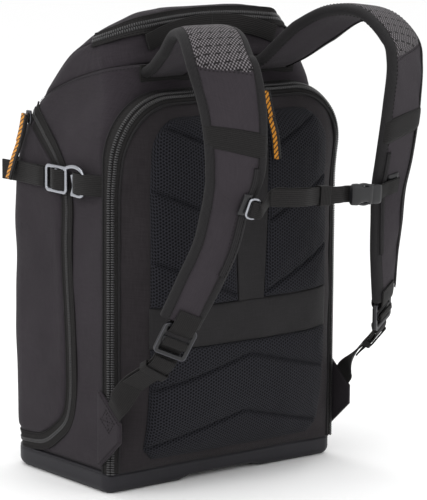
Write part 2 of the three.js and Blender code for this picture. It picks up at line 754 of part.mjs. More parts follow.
// A piece that follows the strap from t0 to t1 between two shares of its width, and two heights from its
// middle given as functions of the place across. Its ends lie slant further along at the inner edge.
function onStrap(t0, t1, u0, u1, under, over, across, along, course = restingStrap, slant = 0) {
  return bent(across, along, (u, v, w) => {
    const f = strapFrame(t0 + (t1 - t0) * v + slant * u, course);
    const side = u0 + (u1 - u0) * u;
    const height = under(side) + (over(side) - under(side)) * w;
    return f.centre.clone().addScaledVector(f.inward, side * f.half).addScaledVector(f.out, height);
  });
}

const strapEdge = (side) => strapThick / 2 * (1 - 0.5 * Math.abs(side) ** 3);

// A flat band of webbing along a smooth line, with acrossAt giving the way across at each place, raised
// by lift from the line, and covering its stretch from v0 to v1.
function ribbon(points, acrossAt, width, thick, steps, lift = 0, v0 = 0, v1 = 1) {
  const line = new THREE.CatmullRomCurve3(points, false, 'centripetal');
  return bent(1, steps, (u, v, w) => {
    const t = v0 + (v1 - v0) * v;
    const along = line.getTangent(t);
    const side = acrossAt(t).clone();
    side.addScaledVector(along, -side.dot(along)).normalize();
    const out = new THREE.Vector3().crossVectors(side, along).negate();
    return line.getPoint(t).addScaledVector(side, (u - 0.5) * width)
      .addScaledVector(out, lift + (w - 0.5) * thick);
  });
}

// A flat plate with holes, drawn in its own (x, y), placed with x along right, y along up and its
// thickness centred on the point given.
function plate(shape, thick, centre, right, up, curveSegments = 2) {
  const geometry = new THREE.ExtrudeGeometry(shape, { depth: thick, bevelEnabled: false, curveSegments });
  geometry.translate(0, 0, -thick / 2);
  const out = new THREE.Vector3().crossVectors(right, up);
  geometry.applyMatrix4(new THREE.Matrix4().makeBasis(right, up, out).setPosition(centre));
  return toSolid(geometry);
}

function frameShape(width, height, round, holes) {
  const shape = roundedRect(-width / 2, -height / 2, width / 2, height / 2, [round, round, round, round]);
  holes.forEach(([x0, y0, x1, y1]) => {
    const r = Math.min(x1 - x0, y1 - y0) * 0.25;
    shape.holes.push(roundedRect(x0, y0, x1, y1, [r, r, r, r]));
  });
  return shape;
}

function makeStraps() {
  const body = bagForm(yokeThick + 2 * clearance, 0);
  const addStraps = (name, make, finish) => {
    add(`${name}_left`, make(settledStrap), finish);
    add(`${name}_right`, mirrored(make(restingStrap)), finish);
  };
  const level = (height) => (side) => strapEdge(side) + height;
  const padding = (course) => onStrap(0, 1, -1, 1, (side) => -strapEdge(side), strapEdge, 4, strapSteps, course);
  addStraps('shoulder_strap', (course) => padding(course).subtract(body), 'cloth');
  addStraps('strap_band', (course) => onStrap(crossWebbingAt, crossWebbingAt + crossWebbingSpan, -0.97, 0.97,
    level(clearance), level(clearance + webbingThick), 4, 2, course, crossWebbingSlant), 'webbing');
  const railSide = 1 - railInset / strapHalf;
  const railHalf = railWidth / 2 / strapHalf;
  const railStart = railFirst / strapSteps;
  const railEnd = (railFirst + railSteps) / strapSteps;
  addStraps('strap_rail', (course) => onStrap(railStart, railEnd, railSide - railHalf, railSide + railHalf,
    level(2 * clearance), level(clearance + railHeight), 1, 2 * railSteps, course), 'darkCloth');
}

// The middle of the wing's upper edge, where the lower webbing is sewn on, and that edge's directions.
function wingSeat() {
  const top = new THREE.Vector3(0, seamY, wingHigh);
  const apex = new THREE.Vector3(0, seamY - wingReach, wingApex + lowerWebbing * 0.4);
  const edge = apex.clone().sub(top);
  const seat = top.clone().addScaledVector(edge, 0.65);
  seat.x = -halfWidth - wingOut - wingThick / 2;
  const across = edge.clone().normalize();
  const away = new THREE.Vector3(0, across.z, -across.y);
  return { seat, across, away };
}

// The ladder buckle's middle and its directions: right across the strap, up towards it, and out.
function buckleFrame() {
  const end = strapFrame(1);
  const up = end.along.clone().negate();
  const right = end.inward.clone();
  const out = new THREE.Vector3().crossVectors(right, up);
  const centre = end.centre.clone().addScaledVector(up, -(buckleLength / 2 + strapGap))
    .addScaledVector(right, buckleShift);
  const at = (s, n) => centre.clone().addScaledVector(up, s).addScaledVector(out, n);
  return { centre, right, up, out, at };
}

function makeLowerEnds() {
  const { centre, right, up, at } = buckleFrame();
  const slot = lowerWebbing + 2 * clearance;
  const inner = buckleLength / 2 - buckleBar;
  const holes = [
    [-slot / 2, -inner, slot / 2, -buckleMidBar / 2],
    [-slot / 2, buckleMidBar / 2, slot / 2, inner],
  ];
  const shape = frameShape(buckleWidth, buckleLength, buckleBar, holes);
  addPair('ladder_buckle', plate(shape, buckleThick, centre, right, up), 'plastic');
  const slotMid = (inner + buckleMidBar / 2) / 2;
  const clear = buckleThick / 2 + 2 * clearance + webbingThick;
  const strapFace = strapThick / 2 + clearance + webbingThick / 2;
  const top = buckleLength / 2;
  const anchor = [at(top + strapGap + 14, strapFace + 0.6), at(top + strapGap, strapFace),
    at(inner - clearance, clear), at(slotMid, 0), at(inner - clearance, -clear),
    at(top + strapGap * 0.6, -clear - 0.4)];
  addPair('strap_anchor', ribbon(anchor, () => right, lowerWebbing, webbingThick, 18), 'webbing');
  const { seat, across, away } = wingSeat();
  const seatAcross = across.clone().multiplyScalar(Math.sign(across.dot(right)) || 1);
  const route = [at(buckleMidBar / 2, clear), at(-buckleMidBar / 2 - 0.5, clear), at(1 - slotMid, -0.5),
    at(-inner + 0.6, -clear), at(-top - 8, -clear + 1),
    seat.clone().addScaledVector(away, 45).add(new THREE.Vector3(wingThick, 0, 0)),
    seat.clone().addScaledVector(away, 16), seat.clone().addScaledVector(away, clearance)];
  const turnOver = (v) => {
    const t = Math.min(Math.max((v - 0.72) / 0.24, 0), 1);
    return right.clone().lerp(seatAcross, t * t * (3 - 2 * t)).normalize();
  };
  addPair('lower_webbing', ribbon(route, turnOver, lowerWebbing, webbingThick, lowerSteps), 'webbing');
  const lift = webbingThick + 5 * clearance;
  addPair('webbing_tail', ribbon(route, turnOver, lowerWebbing - 2, webbingThick,
    tailSteps, lift, tailStart, tailStart + tailSteps / lowerSteps), 'webbing');
  const line = new THREE.CatmullRomCurve3(route, false, 'centripetal');
  const place = line.getPoint(keeperAt);
  const along = line.getTangent(keeperAt);
  const side = turnOver(keeperAt);
  side.addScaledVector(along, -side.dot(along)).normalize();
  const out = new THREE.Vector3().crossVectors(side, along).negate();
  place.addScaledVector(out, lift / 2);
  const room = lift + webbingThick + 6 * clearance;
  const loop = frameShape(lowerWebbing + 2 * keeperWall + 4 * clearance, room + 2 * keeperWall, 1,
    [[-lowerWebbing / 2 - 2 * clearance, -room / 2, lowerWebbing / 2 + 2 * clearance, room / 2]]);
  addPair('webbing_keeper', plate(loop, keeperLength, place, side, out, 1), 'webbing');
}

// Sternum strap

function strapAtHeight(z) {
  let low = 0.5;
  let high = 1;
  for (let i = 0; i < 30; i += 1) {
    const mid = (low + high) / 2;
    if (strapFrame(mid).centre.z > z) low = mid;
    else high = mid;
  }
  return low;
}

function makeSternum() {
  const t = strapAtHeight(sternumHeight);
  const f = strapFrame(t);
  const reach = clipSize / 2 / 468;
  const railSide = 1 - railInset / strapHalf;
  const railTop = clearance + railHeight;
  const level = (height) => (side) => strapEdge(side) + height;
  const clip = onStrap(t - reach, t + reach, railSide - 0.26, railSide + 0.08, level(railTop + clearance),
    level(railTop + clearance + clipThick), 2, 2);
  add('sternum_slider_left', clip, 'plastic');
  const slotHalf = sternumWidth / 2 + clearance;
  const strapUp = (way) => new THREE.Vector3(way * f.along.x, -f.along.y, -f.along.z);
  const ringHeight = strapThick / 2 + railTop + clipThick + 2 * clearance + ringThick / 2;
  const ringReach = f.half * railSide + ringWidth * 0.45;
  const ringAt = (s, n) => f.centre.clone().addScaledVector(f.inward, ringReach + s)
    .addScaledVector(f.out, ringHeight + n);
  const ring = frameShape(ringWidth, 2 * slotHalf + 2 * ringBar, ringWidth * 0.4,
    [[-ringWidth / 2 + ringBar, -slotHalf, ringWidth / 2 - ringBar, slotHalf]]);
  add('sternum_ring_left', plate(ring, ringThick, ringAt(0, 0), f.inward, strapUp(-1)), 'aluminium');
  const clearRing = ringThick / 2 + 4 * clearance + webbingThick / 2;
  const edge = ringWidth / 2;
  const start = ringAt(edge, 0);
  const z = sternumHeight + sternumLift;
  const at = (x, out) => new THREE.Vector3(x, start.y - out, z - sternumDrop * (x - start.x));
  const right = new THREE.Vector3(1, 0, -sternumDrop).normalize();
  const up = new THREE.Vector3(sternumDrop, 0, 1).normalize();
  const bar = start.x;
  const socketX = sternumBuckleAt;
  const clearSocket = sternumBuckleThick / 2 + clearance + webbingThick / 2;
  const slotX = socketX + buckleSlotBar + buckleSlot / 2;
  const left = [ringAt(edge + 6, -clearRing), ringAt(edge - ringBar, -clearRing), ringAt(-1.2, 0),
    ringAt(edge - ringBar, clearRing), ringAt(edge, clearRing), at(bar + 14, clearRing * 0.6),
    at(bar + 40, 0), at(bar + 72, 0), at(socketX - 14, -1.5), at(socketX - 3, -clearSocket - clearance),
    at(slotX - 2.6, -clearSocket - clearance), at(slotX, -1.5), at(slotX + 0.4, sternumBuckleThick / 3)];
  const rising = (v) => strapUp(-1).lerp(up, Math.min(Math.max((v - 0.35) / 0.25, 0), 1));
  add('sternum_webbing_left', ribbon(left, rising, sternumWidth, webbingThick, 40), 'webbing');
  const foldOut = clearRing + webbingThick + 5 * clearance;
  const loop = [at(bar + 8, foldOut + 0.6), at(bar + 22, foldOut + foldBulge),
    at(bar + 46, foldOut + foldBulge), at(bar + 64, foldOut - 0.6),
    at(bar + 74, webbingThick + 2 * clearance)];
  add('sternum_loop', ribbon(loop, () => up, sternumWidth, webbingThick, 14), 'webbing');
  const room = 2 * webbingThick + 12 * clearance;
  const keeper = frameShape(sternumWidth + 2 * keeperWall + 2 * clearance, room + 2 * keeperWall, 1,
    [[-slotHalf, -room / 2, slotHalf, room / 2]]);
  const keeperPlace = at(bar + 80, webbingThick / 2 + clearance / 2);
  const toWearer = new THREE.Vector3(0, -1, 0);
  add('sternum_keeper', plate(keeper, sternumKeeperLength, keeperPlace, up, toWearer, 1), 'webbing');
  const half = sternumBuckleWidth / 2;
  const slotShape = [buckleSlotBar - sternumBuckleLength / 2, -slotHalf,
    buckleSlotBar + buckleSlot - sternumBuckleLength / 2, slotHalf];
  const socket = frameShape(sternumBuckleLength, 2 * half, 4, [slotShape]);
  const socketMid = at(socketX + sternumBuckleLength / 2, 0);
  add('sternum_socket', plate(socket, sternumBuckleThick, socketMid, right, up), 'plastic');
  const plugLength = sternumBuckleLength * 0.5;
  const plugX = socketX + sternumBuckleLength + clearance;
  const plug = frameShape(plugLength, 2 * half - 2, 2,
    [[plugLength / 2 - buckleSlotBar - buckleSlot, -slotHalf, plugLength / 2 - buckleSlotBar, slotHalf]]);
  const plugMid = at(plugX + plugLength / 2, 0);
  add('sternum_plug', plate(plug, plugThick, plugMid, right, up), 'plastic');
  const rightOf = (side, height) => {
    const p = f.centre.clone().addScaledVector(f.inward, side * f.half).addScaledVector(f.out, height);
    return new THREE.Vector3(-p.x, p.y, p.z);
  };
  const plate2 = onStrap(t - reach, t + reach, -0.1, railSide - railWidth / f.half, level(2 * clearance),
    level(2 * clearance + clipThick), 2, 2);
  add('sternum_slider_right', mirrored(plate2), 'plastic');
  const plugSlot = plugX + plugLength - buckleSlotBar - buckleSlot / 2;
  const clearPlug = plugThick / 2 + clearance + webbingThick / 2;
  const onClip = strapThick / 2 + clipThick + 2 * clearance + webbingThick / 2;
  const overRail = strapThick / 2 + railTop + clearance + webbingThick;
  const rightRoute = [at(plugSlot - 0.4, plugThick / 3), at(plugSlot, -1),
    at(plugSlot + 2.4, -clearPlug - clearance), at(plugX + plugLength + 3, -clearPlug),
    rightOf(1.25, overRail + 2.5), rightOf(railSide, overRail), rightOf(0.3, onClip + 1.4),
    rightOf(-0.05, onClip + 0.7)];
  const leaning = (v) => up.clone().lerp(strapUp(1), Math.min(Math.max((v - 0.4) / 0.3, 0), 1));
  add('sternum_webbing_right', ribbon(rightRoute, leaning, sternumWidth, webbingThick, 24), 'webbing');
}

// Compression strap round the front, and its hook on the -X side

function makeCompression() {
  const low = compressionMid - compressionWidth / 2;
  const high = compressionMid + compressionWidth / 2;
  const under = pocketThick + clearance;
  const skin = bagSkin(under, under + webbingThick);
  const front = block([-bagWidth, hookCentre + hookWidth, low], [bagWidth, bagDepth, high]);
  const far = block([0, seamY, low], [bagWidth, bagDepth, high]);
  add('compression_front', skin.intersect(front.add(far)), 'webbing');
  const at = (y, out) => new THREE.Vector3(-halfWidth - out, y, compressionMid);
  const up = new THREE.Vector3(0, 0, 1);
  const plateIn = under + webbingThick + 4 * clearance;
  const plateMid = plateIn + hookThick / 2;
  const below1 = under + webbingThick / 2 + clearance;
  const over1 = plateIn + hookThick + 3 * clearance + webbingThick / 2;
  const slotHalf = compressionWidth / 2 + clearance;
  const w = hookWidth / 2;
  const ladder = frameShape(hookWidth, 2 * slotHalf + 2 * hookBar, 5, [
    [-w + hookBar, -slotHalf, -hookBar / 2, slotHalf],
    [hookBar / 2, -slotHalf, w - hookBar, slotHalf],
  ]);
  const right = new THREE.Vector3(0, -1, 0);
  const place = at(hookCentre, plateMid);
  const rise = slotHalf + hookBar / 2;
  const arm = [[w - hookBar, rise], [w + hookReach * 0.35, rise + 1], [w + hookReach * 0.75, rise - 3],
    [w + hookReach, rise - 11]];
  const stub = [[w - hookBar, -rise], [w + hookReach * 0.75, -rise]];
  const tongue = [[w + hookReach * 0.34, -rise], [w + hookReach * 0.34, rise - hookBar * 1.6]];
  const bandOf = (points, half) => {
    const curve = new THREE.SplineCurve(points.map((p) => new THREE.Vector2(p[0], p[1])));
    return new THREE.Shape(lineBand(curve.getPoints(points.length * 2), half));
  };
  let hook = plate(ladder, hookThick, place, right, up);
  [arm, stub, tongue].forEach((points) => {
    hook = hook.add(plate(bandOf(points, hookBar / 2), hookThick, place, right, up));
  });
  add('compression_hook', hook, 'aluminium');
  const sideRoute = [at(hookCentre + hookWidth - clearance, below1), at(hookCentre + w + 3, below1),
    at(hookCentre + w - hookBar - 4 * clearance, below1), at(hookCentre + w / 2, plateMid),
    at(hookCentre + hookBar / 2, over1), at(hookCentre - hookBar / 2, over1),
    at(hookCentre - w / 2, plateMid), at(hookCentre - w + hookBar + 4 * clearance, below1)];
  add('compression_side', ribbon(sideRoute, () => up, compressionWidth, webbingThick, 26), 'webbing');
  const over2 = over1 + webbingThick + clearance;
  const tail = [at(hookCentre + 3, over2 + 0.4), at(hookCentre + w, over2 - 0.8),
    at(hookCentre + w + 18, over1 - 1.5), at(tailEnd - 34, over1 - 3), at(tailEnd, over1)];
  add('compression_tail', ribbon(tail, () => up, compressionWidth, webbingThick, 16), 'webbing');
  const tongueY = hookCentre - w - hookReach * 0.34;
  const hookEnd = hookCentre - w - hookReach - hookBar / 2;
  const turn = tongueY + hookBar / 2 + webbingThick + 8 * clearance;
  const rear = [at(seamY + 3, clearance + webbingThick / 2), at(tongueY - 18, below1), at(tongueY, below1),
    at(turn, plateMid), at(tongueY, over1), at(hookEnd, over1), at(hookEnd - 7, over1 - 1.5),
    at(seamY + 7, below1 + webbingThick), at(seamY + 1, 2 * clearance + 1.5 * webbingThick)];
  add('compression_rear', ribbon(rear, () => up, compressionWidth, webbingThick, 34), 'webbing');
}

// Zip sliders with their woven pulls

function makePulls() {
  const across = new THREE.Vector3(1, 0, 0);
  const coilTop = doorInset + 3 * clearance + coilHeight;
  const slider = bent(1, 3, (u, v, w) => {
    const angle = THREE.MathUtils.degToRad(22 + 46 * v);
    const reach = coilTop + sliderThick * w;
    const back = (reach + archLift * (reach / doorInset)) * Math.sin(angle);
    return new THREE.Vector3(doorPullAt - sliderWidth / 2 + sliderWidth * u, seamY - clearance - back,
      doorTop + reach * Math.cos(angle));
  });
  add('door_slider', slider, 'aluminium');
  const rest = (z, proud) => new THREE.Vector3(doorPullAt, doorY(doorPullAt, z) - padThick - proud, z);
  const outer = coilTop + sliderThick;
  const topZ = doorTop + outer * 0.35;
  const topBack = (outer + archLift * (outer / doorInset)) * 0.9;
  const topY = seamY - 2 * clearance - topBack - pullThick / 2;
  const doorPull = [new THREE.Vector3(doorPullAt, topY, topZ), rest(topZ - pullLength * 0.3, 5),
    rest(topZ - pullLength * 0.62, 4), rest(topZ - pullLength, 4)];
  add('door_pull', ribbon(doorPull, () => across, pullWidth, pullThick, 10), 'cord');
  const top = new THREE.Vector3(-halfWidth * pocketPull.side, pocketPull.forward * halfDepth,
    pocketPull.height * bagHeight);
  const pocketSlider = block([-sliderThick, -sliderWidth / 2, -sliderLength / 2],
    [0, sliderWidth / 2, sliderLength / 2])
    .translate([top.x, top.y, top.z]);
  add('pocket_slider', pocketSlider, 'aluminium');
  const x = top.x - sliderThick - clearance - pullThick / 2;
  const pull = [
    new THREE.Vector3(x, top.y + 1, top.z + 3),
    new THREE.Vector3(x - pullLength * 0.05, top.y + pullSwing / 3, top.z - pullLength * 0.3),
    new THREE.Vector3(x - pullLength * 0.145, top.y + pullSwing * 0.67, top.z - pullLength * 0.64),
    new THREE.Vector3(x - pullLength * 0.21, top.y + pullSwing, top.z + 3 - pullLength),
  ];
  add('pocket_pull', ribbon(pull, () => new THREE.Vector3(0, 1, 0.1), pullWidth, pullThick, 10), 'cord');
}

makeBase();
makeBody();
makeFrontPocket();
makeLidZip();
makeDoor();
makePads();
makeYoke();
makeWings();
makeStraps();
makeLowerEnds();
makeSternum();
makeCompression();
makePulls();

export default group;
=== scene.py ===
"""Camera backpack, dressed: cloth panels, coil zips, mesh padding, straps, webbing and hardware.

Lengths are in millimetres until a mesh is made. +Z is up, and the harness faces -Y.
"""
import math
import bpy
import numpy as np
from mathutils import Matrix


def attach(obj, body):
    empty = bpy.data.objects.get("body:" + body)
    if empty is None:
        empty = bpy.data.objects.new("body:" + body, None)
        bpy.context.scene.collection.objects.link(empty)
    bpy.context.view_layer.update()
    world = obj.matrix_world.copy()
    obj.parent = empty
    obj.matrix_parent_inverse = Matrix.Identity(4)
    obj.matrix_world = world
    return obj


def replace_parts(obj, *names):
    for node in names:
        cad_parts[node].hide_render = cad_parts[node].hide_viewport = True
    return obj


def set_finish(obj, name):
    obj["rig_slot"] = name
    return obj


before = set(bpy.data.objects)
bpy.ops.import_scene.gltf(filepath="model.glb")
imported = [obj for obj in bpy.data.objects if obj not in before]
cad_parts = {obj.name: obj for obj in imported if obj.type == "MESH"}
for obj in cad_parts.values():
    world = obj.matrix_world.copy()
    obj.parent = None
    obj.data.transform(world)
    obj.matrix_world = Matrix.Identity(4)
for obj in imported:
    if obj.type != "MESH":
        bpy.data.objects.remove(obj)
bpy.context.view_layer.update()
MM = 0.001
BODY = "root"

# Sizes shared with the solids
BAG_WIDTH, BAG_DEPTH, BAG_HEIGHT = 300.0, 180.0, 490.0
HALF_WIDTH, HALF_DEPTH = BAG_WIDTH / 2, BAG_DEPTH / 2
CORNER = 28.0
GAP = 0.3
BASE_HEIGHT = 22.0
SEAM_Y = -HALF_DEPTH + 8
DOOR_INSET, DOOR_TOP, DOOR_CORNER, DOOR_CROWN = 12.0, 398.0, 58.0, 38.0
ARCH_LIFT, ARCH_FROM, ARCH_TO = 10.0, 300.0, 380.0
PAD_HALF, PAD_TOP, PAD_LOW, PAD_ROUND, PAD_THICK = 114.0, 386.0, 33.0, 40.0, 5.0
BAND_LOW, BAND_HIGH = 152.0, 194.0
CHANNEL_LOW, CHANNEL_HIGH = 16.0, 27.0
WEB = 1.8

# Share of height, half width, front and rear of half depth, and of the corner radius at front and rear
SECTIONS = np.array([
    (0.046, 0.987, 0.905, 0.911, 0.93, 0.14), (0.094, 1.000, 0.940, 0.911, 1.00, 0.14),
    (0.184, 1.000, 0.955, 0.911, 1.00, 0.14), (0.449, 1.000, 0.950, 0.911, 1.00, 0.14),
    (0.618, 1.000, 0.940, 0.911, 1.00, 0.14), (0.688, 1.000, 0.875, 0.911, 1.00, 0.20),
    (0.720, 0.990, 0.830, 0.911, 1.00, 0.30), (0.749, 0.967, 0.800, 0.911, 1.00, 0.45),
    (0.776, 0.930, 0.775, 0.911, 1.00, 0.65), (0.796, 0.900, 0.745, 0.911, 1.00, 0.80),
    (0.812, 0.880, 0.705, 0.911, 1.00, 0.90), (0.835, 0.865, 0.630, 0.900, 1.05, 0.95),
    (0.865, 0.853, 0.500, 0.844, 1.10, 1.00), (0.898, 0.840, 0.333, 0.778, 1.15, 1.05),
    (0.922, 0.815, 0.178, 0.733, 1.20, 1.15), (0.943, 0.767, 0.056, 0.711, 1.20, 1.30),
    (0.961, 0.700, -0.111, 0.689, 0.90, 0.90), (0.978, 0.610, -0.278, 0.678, 0.60, 0.60),
    (0.992, 0.500, -0.389, 0.656, 0.35, 0.40), (1.000, 0.340, -0.467, 0.622, 0.20, 0.20)])

# Seams seen from the side: share of half depth towards the front, and share of the height
CAP_SEAM = np.array([(0.90, 0.770), (0.50, 0.814), (-0.07, 0.857), (-0.55, 0.882), (-1.10, 0.905)])
LID_ZIP = np.array([(0.90, 0.772), (0.53, 0.820), (0.34, 0.868), (0.10, 0.906), (-0.15, 0.927),
                    (-0.42, 0.943), (-0.80, 0.962), (-1.10, 0.966)])
POCKET_ZIP = np.array([(0.72, 0.061), (0.24, 0.073), (-0.02, 0.100), (-0.23, 0.135), (-0.31, 0.184),
                       (-0.31, 0.290), (-0.23, 0.500), (-0.23, 0.616), (-0.07, 0.682), (0.28, 0.737),
                       (0.66, 0.778)])

# Strap stations from the yoke over the top to the lower end: side and out as shares of half the width,
# share of the height, turn and tilt in degrees, and share of the widest half width
STRAP_HALF, STRAP_THICK = 36.0, 11.0
STATIONS = np.array([
    (0.447, -0.173, 0.865, 0, 0, 0.83), (0.467, 0.013, 0.890, 0, 0, 0.83),
    (0.547, 0.280, 0.951, 3, -13, 0.89), (0.620, 0.520, 0.992, 14, -10, 0.97),
    (0.700, 0.733, 0.994, 22, -6, 1.00), (0.770, 0.920, 0.943, 26, 0, 1.00),
    (0.760, 0.980, 0.898, 29, 0, 0.98), (0.720, 1.003, 0.816, 30, 0, 0.95),
    (0.687, 0.973, 0.704, 28, 0, 0.79), (0.707, 0.900, 0.633, 23, 0, 0.63),
    (0.740, 0.847, 0.557, 26, 0, 0.61), (0.807, 0.757, 0.480, 28, 0, 0.60),
    (0.893, 0.660, 0.398, 25, 0, 0.57)])
# What the left strap has settled by, from its first station: drop as a share of the height, further tilt,
# and change of its share of the widest half width
SETTLED = np.array([(0, 0, 0), (0, 0, 0), (0.010, 3, -0.02), (0.020, 8, -0.05), (0.024, 9, -0.06),
                    (0.016, 7, -0.05), (0.007, 2, -0.06), (0, 0, -0.09)])
# How far the right strap has turned towards its outer edge at each station, in degrees
FAR_TURN = np.array([0, 0, 0, 0, 0, -2, -6, -11, -16, -17, -16, -9, 0.0])
CROSS_AT, CROSS_SPAN, CROSS_SLANT, RAIL_INSET = 0.585, 0.035, 0.024, 11.0
RAIL_START, RAIL_END = 17 / 26, 23 / 26
MESH_FROM, MESH_OUTER, MESH_INNER = 0.12, 0.425, 0.50


# Curves and arrays

def through(x, xs, ys):
    """Monotone cubic through a table: each slope is the weighted harmonic mean of its two chords, or
    nothing where they turn, so the curve never swings past its rows."""
    xs, ys = np.asarray(xs, float), np.asarray(ys, float)
    h = np.diff(xs)
    d = np.diff(ys) / h
    slope = np.concatenate([d[:1], np.zeros(len(xs) - 2), d[-1:]])
    w1, w2 = 2 * h[1:] + h[:-1], h[1:] + 2 * h[:-1]
    same = d[:-1] * d[1:] > 0
    safe0, safe1 = np.where(same, d[:-1], 1.0), np.where(same, d[1:], 1.0)
    slope[1:-1] = np.where(same, (w1 + w2) / (w1 / safe0 + w2 / safe1), 0.0)
    x = np.clip(x, xs[0], xs[-1])
    k = np.clip(np.searchsorted(xs, x, side="right") - 1, 0, len(h) - 1)
    t = (x - xs[k]) / h[k]
    a, b = (1 + 2 * t) * (1 - t) ** 2, t * (1 - t) ** 2
    c, e = t * t * (3 - 2 * t), t * t * (t - 1)
    return a * ys[k] + b * h[k] * slope[k] + c * ys[k + 1] + e * h[k] * slope[k + 1]


def unit(v):
    """Vectors divided by their own length."""
    return v / np.maximum(np.linalg.norm(v, axis=-1, keepdims=True), 1e-9)


def smooth(t):
    """0 to 1 with level ends."""
    t = np.clip(t, 0, 1)
    return t * t * (3 - 2 * t)


def spline(points, t):
    """Centripetal Catmull-Rom curve through the points, with t from 0 to 1 sharing its length out evenly
    among the stretches, as the solids' curves do."""
    p = np.asarray(points, float)
    p = np.vstack([2 * p[0] - p[1], p, 2 * p[-1] - p[-2]])
    n = len(p) - 3
    place = np.clip(np.asarray(t, float), 0, 1) * n
    k = np.minimum(place.astype(int), n - 1)
    w = (place - k)[:, None]
    p0, p1, p2, p3 = p[k], p[k + 1], p[k + 2], p[k + 3]
    d0 = np.maximum(np.sum((p0 - p1) ** 2, 1), 1e-9)[:, None] ** 0.25
    d1 = np.maximum(np.sum((p1 - p2) ** 2, 1), 1e-9)[:, None] ** 0.25
    d2 = np.maximum(np.sum((p2 - p3) ** 2, 1), 1e-9)[:, None] ** 0.25
    m1 = ((p1 - p0) / d0 - (p2 - p0) / (d0 + d1) + (p2 - p1) / d1) * d1
    m2 = ((p2 - p1) / d1 - (p3 - p1) / (d1 + d2) + (p3 - p2) / d2) * d1
    return ((2 * w ** 3 - 3 * w ** 2 + 1) * p1 + (w ** 3 - 2 * w ** 2 + w) * m1
            + (-2 * w ** 3 + 3 * w ** 2) * p2 + (w ** 3 - w ** 2) * m2)


def lengths(path):
    """Distance run along a path up to each of its points."""
    return np.concatenate([[0.0], np.cumsum(np.linalg.norm(np.diff(path, axis=0), axis=1))])


def evenly(path, step, *others):
    """The path, and anything given per point of it, at even steps along its length."""
    run = lengths(path)
    at = np.linspace(0, run[-1], max(int(round(run[-1] / step)), 1) + 1)
    return [np.stack([np.interp(at, run, a[:, i]) for i in range(a.shape[1])], 1) for a in (path, *others)]


def ripple(points, seed, height, shortest, longest, count=26):
    """Gentle unevenness of cloth: the sum of sine waves of random direction and length, divided so
    that its spread is about the height given."""
    rng = np.random.RandomState(seed)
    total = np.zeros(points.shape[:-1])
    for _ in range(count):
        way = unit(rng.normal(size=3))
        wave = math.exp(rng.uniform(math.log(shortest), math.log(longest)))
        total += np.sin(points @ way * (2 * math.pi / wave) + rng.uniform(0, 2 * math.pi))
    return height * total / math.sqrt(count / 2)


def grid_normals(p):
    """Unit normals of a grid: its change from row to row crossed with its change along the row."""
    return unit(np.cross(np.gradient(p, axis=0), np.gradient(p, axis=1)))


# Making meshes

def put(name, verts, quads, corner_uv=None, finish=None, flat=False):
    """One object from arrays of points in millimetres and of four-cornered faces, turned outwards: the
    faces are reversed where the volume that they enclose comes out negative."""
    verts = np.asarray(verts, float) * MM
    quads = np.asarray(quads, int)
    a, b, c, d = (verts[quads[:, i]] for i in range(4))
    volume = np.sum(np.cross(a, b) * c) + np.sum(np.cross(a, c) * d)
    if volume < 0:
        quads = quads[:, ::-1]
        corner_uv = None if corner_uv is None else corner_uv[:, ::-1]
    mesh = bpy.data.meshes.new(name)
    mesh.vertices.add(len(verts))
    mesh.vertices.foreach_set("co", verts.ravel())
    mesh.loops.add(quads.size)
    mesh.loops.foreach_set("vertex_index", quads.ravel().astype(np.int32))
    mesh.polygons.add(len(quads))
    mesh.polygons.foreach_set("loop_start", np.arange(0, quads.size, 4, dtype=np.int32))
    mesh.polygons.foreach_set("use_smooth", np.full(len(quads), not flat))
    if corner_uv is not None:
        layer = mesh.uv_layers.new(name="cloth")
        layer.data.foreach_set("uv", (np.asarray(corner_uv, float) * MM).ravel())
    mesh.validate()
    mesh.update()
    obj = bpy.data.objects.new(name, mesh)
    bpy.context.scene.collection.objects.link(obj)
    if finish:
        mesh.materials.append(FINISH[finish])
        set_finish(obj, SLOT_OF[finish])
    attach(obj, BODY)
    return obj


def grid_quads(rows, cols, wrap=False):
    """Corner numbers of a grid's faces, and the row and column that each corner has before wrapping."""
    i, j = np.meshgrid(np.arange(rows - 1), np.arange(cols if wrap else cols - 1), indexing="ij")
    i, j = i.ravel(), j.ravel()
    ii = np.stack([i, i, i + 1, i + 1], 1)
    jj = np.stack([j, j + 1, j + 1, j], 1)
    return ii * cols + jj % cols, ii, jj


def grid_uv(p, wrap):
    """Distances in millimetres across and along a grid, one column more than it has where it wraps."""
    q = np.concatenate([p, p[:, :1]], 1) if wrap else p
    across = np.linalg.norm(np.diff(q, axis=1), axis=2)
    along = np.linalg.norm(np.diff(q, axis=0), axis=2)
    u = np.concatenate([np.zeros((len(q), 1)), np.cumsum(across, 1)], 1)
    v = np.concatenate([np.zeros((1, q.shape[1])), np.cumsum(along, 0)], 0)
    return np.stack([u - u.mean(1, keepdims=True), v], 2)


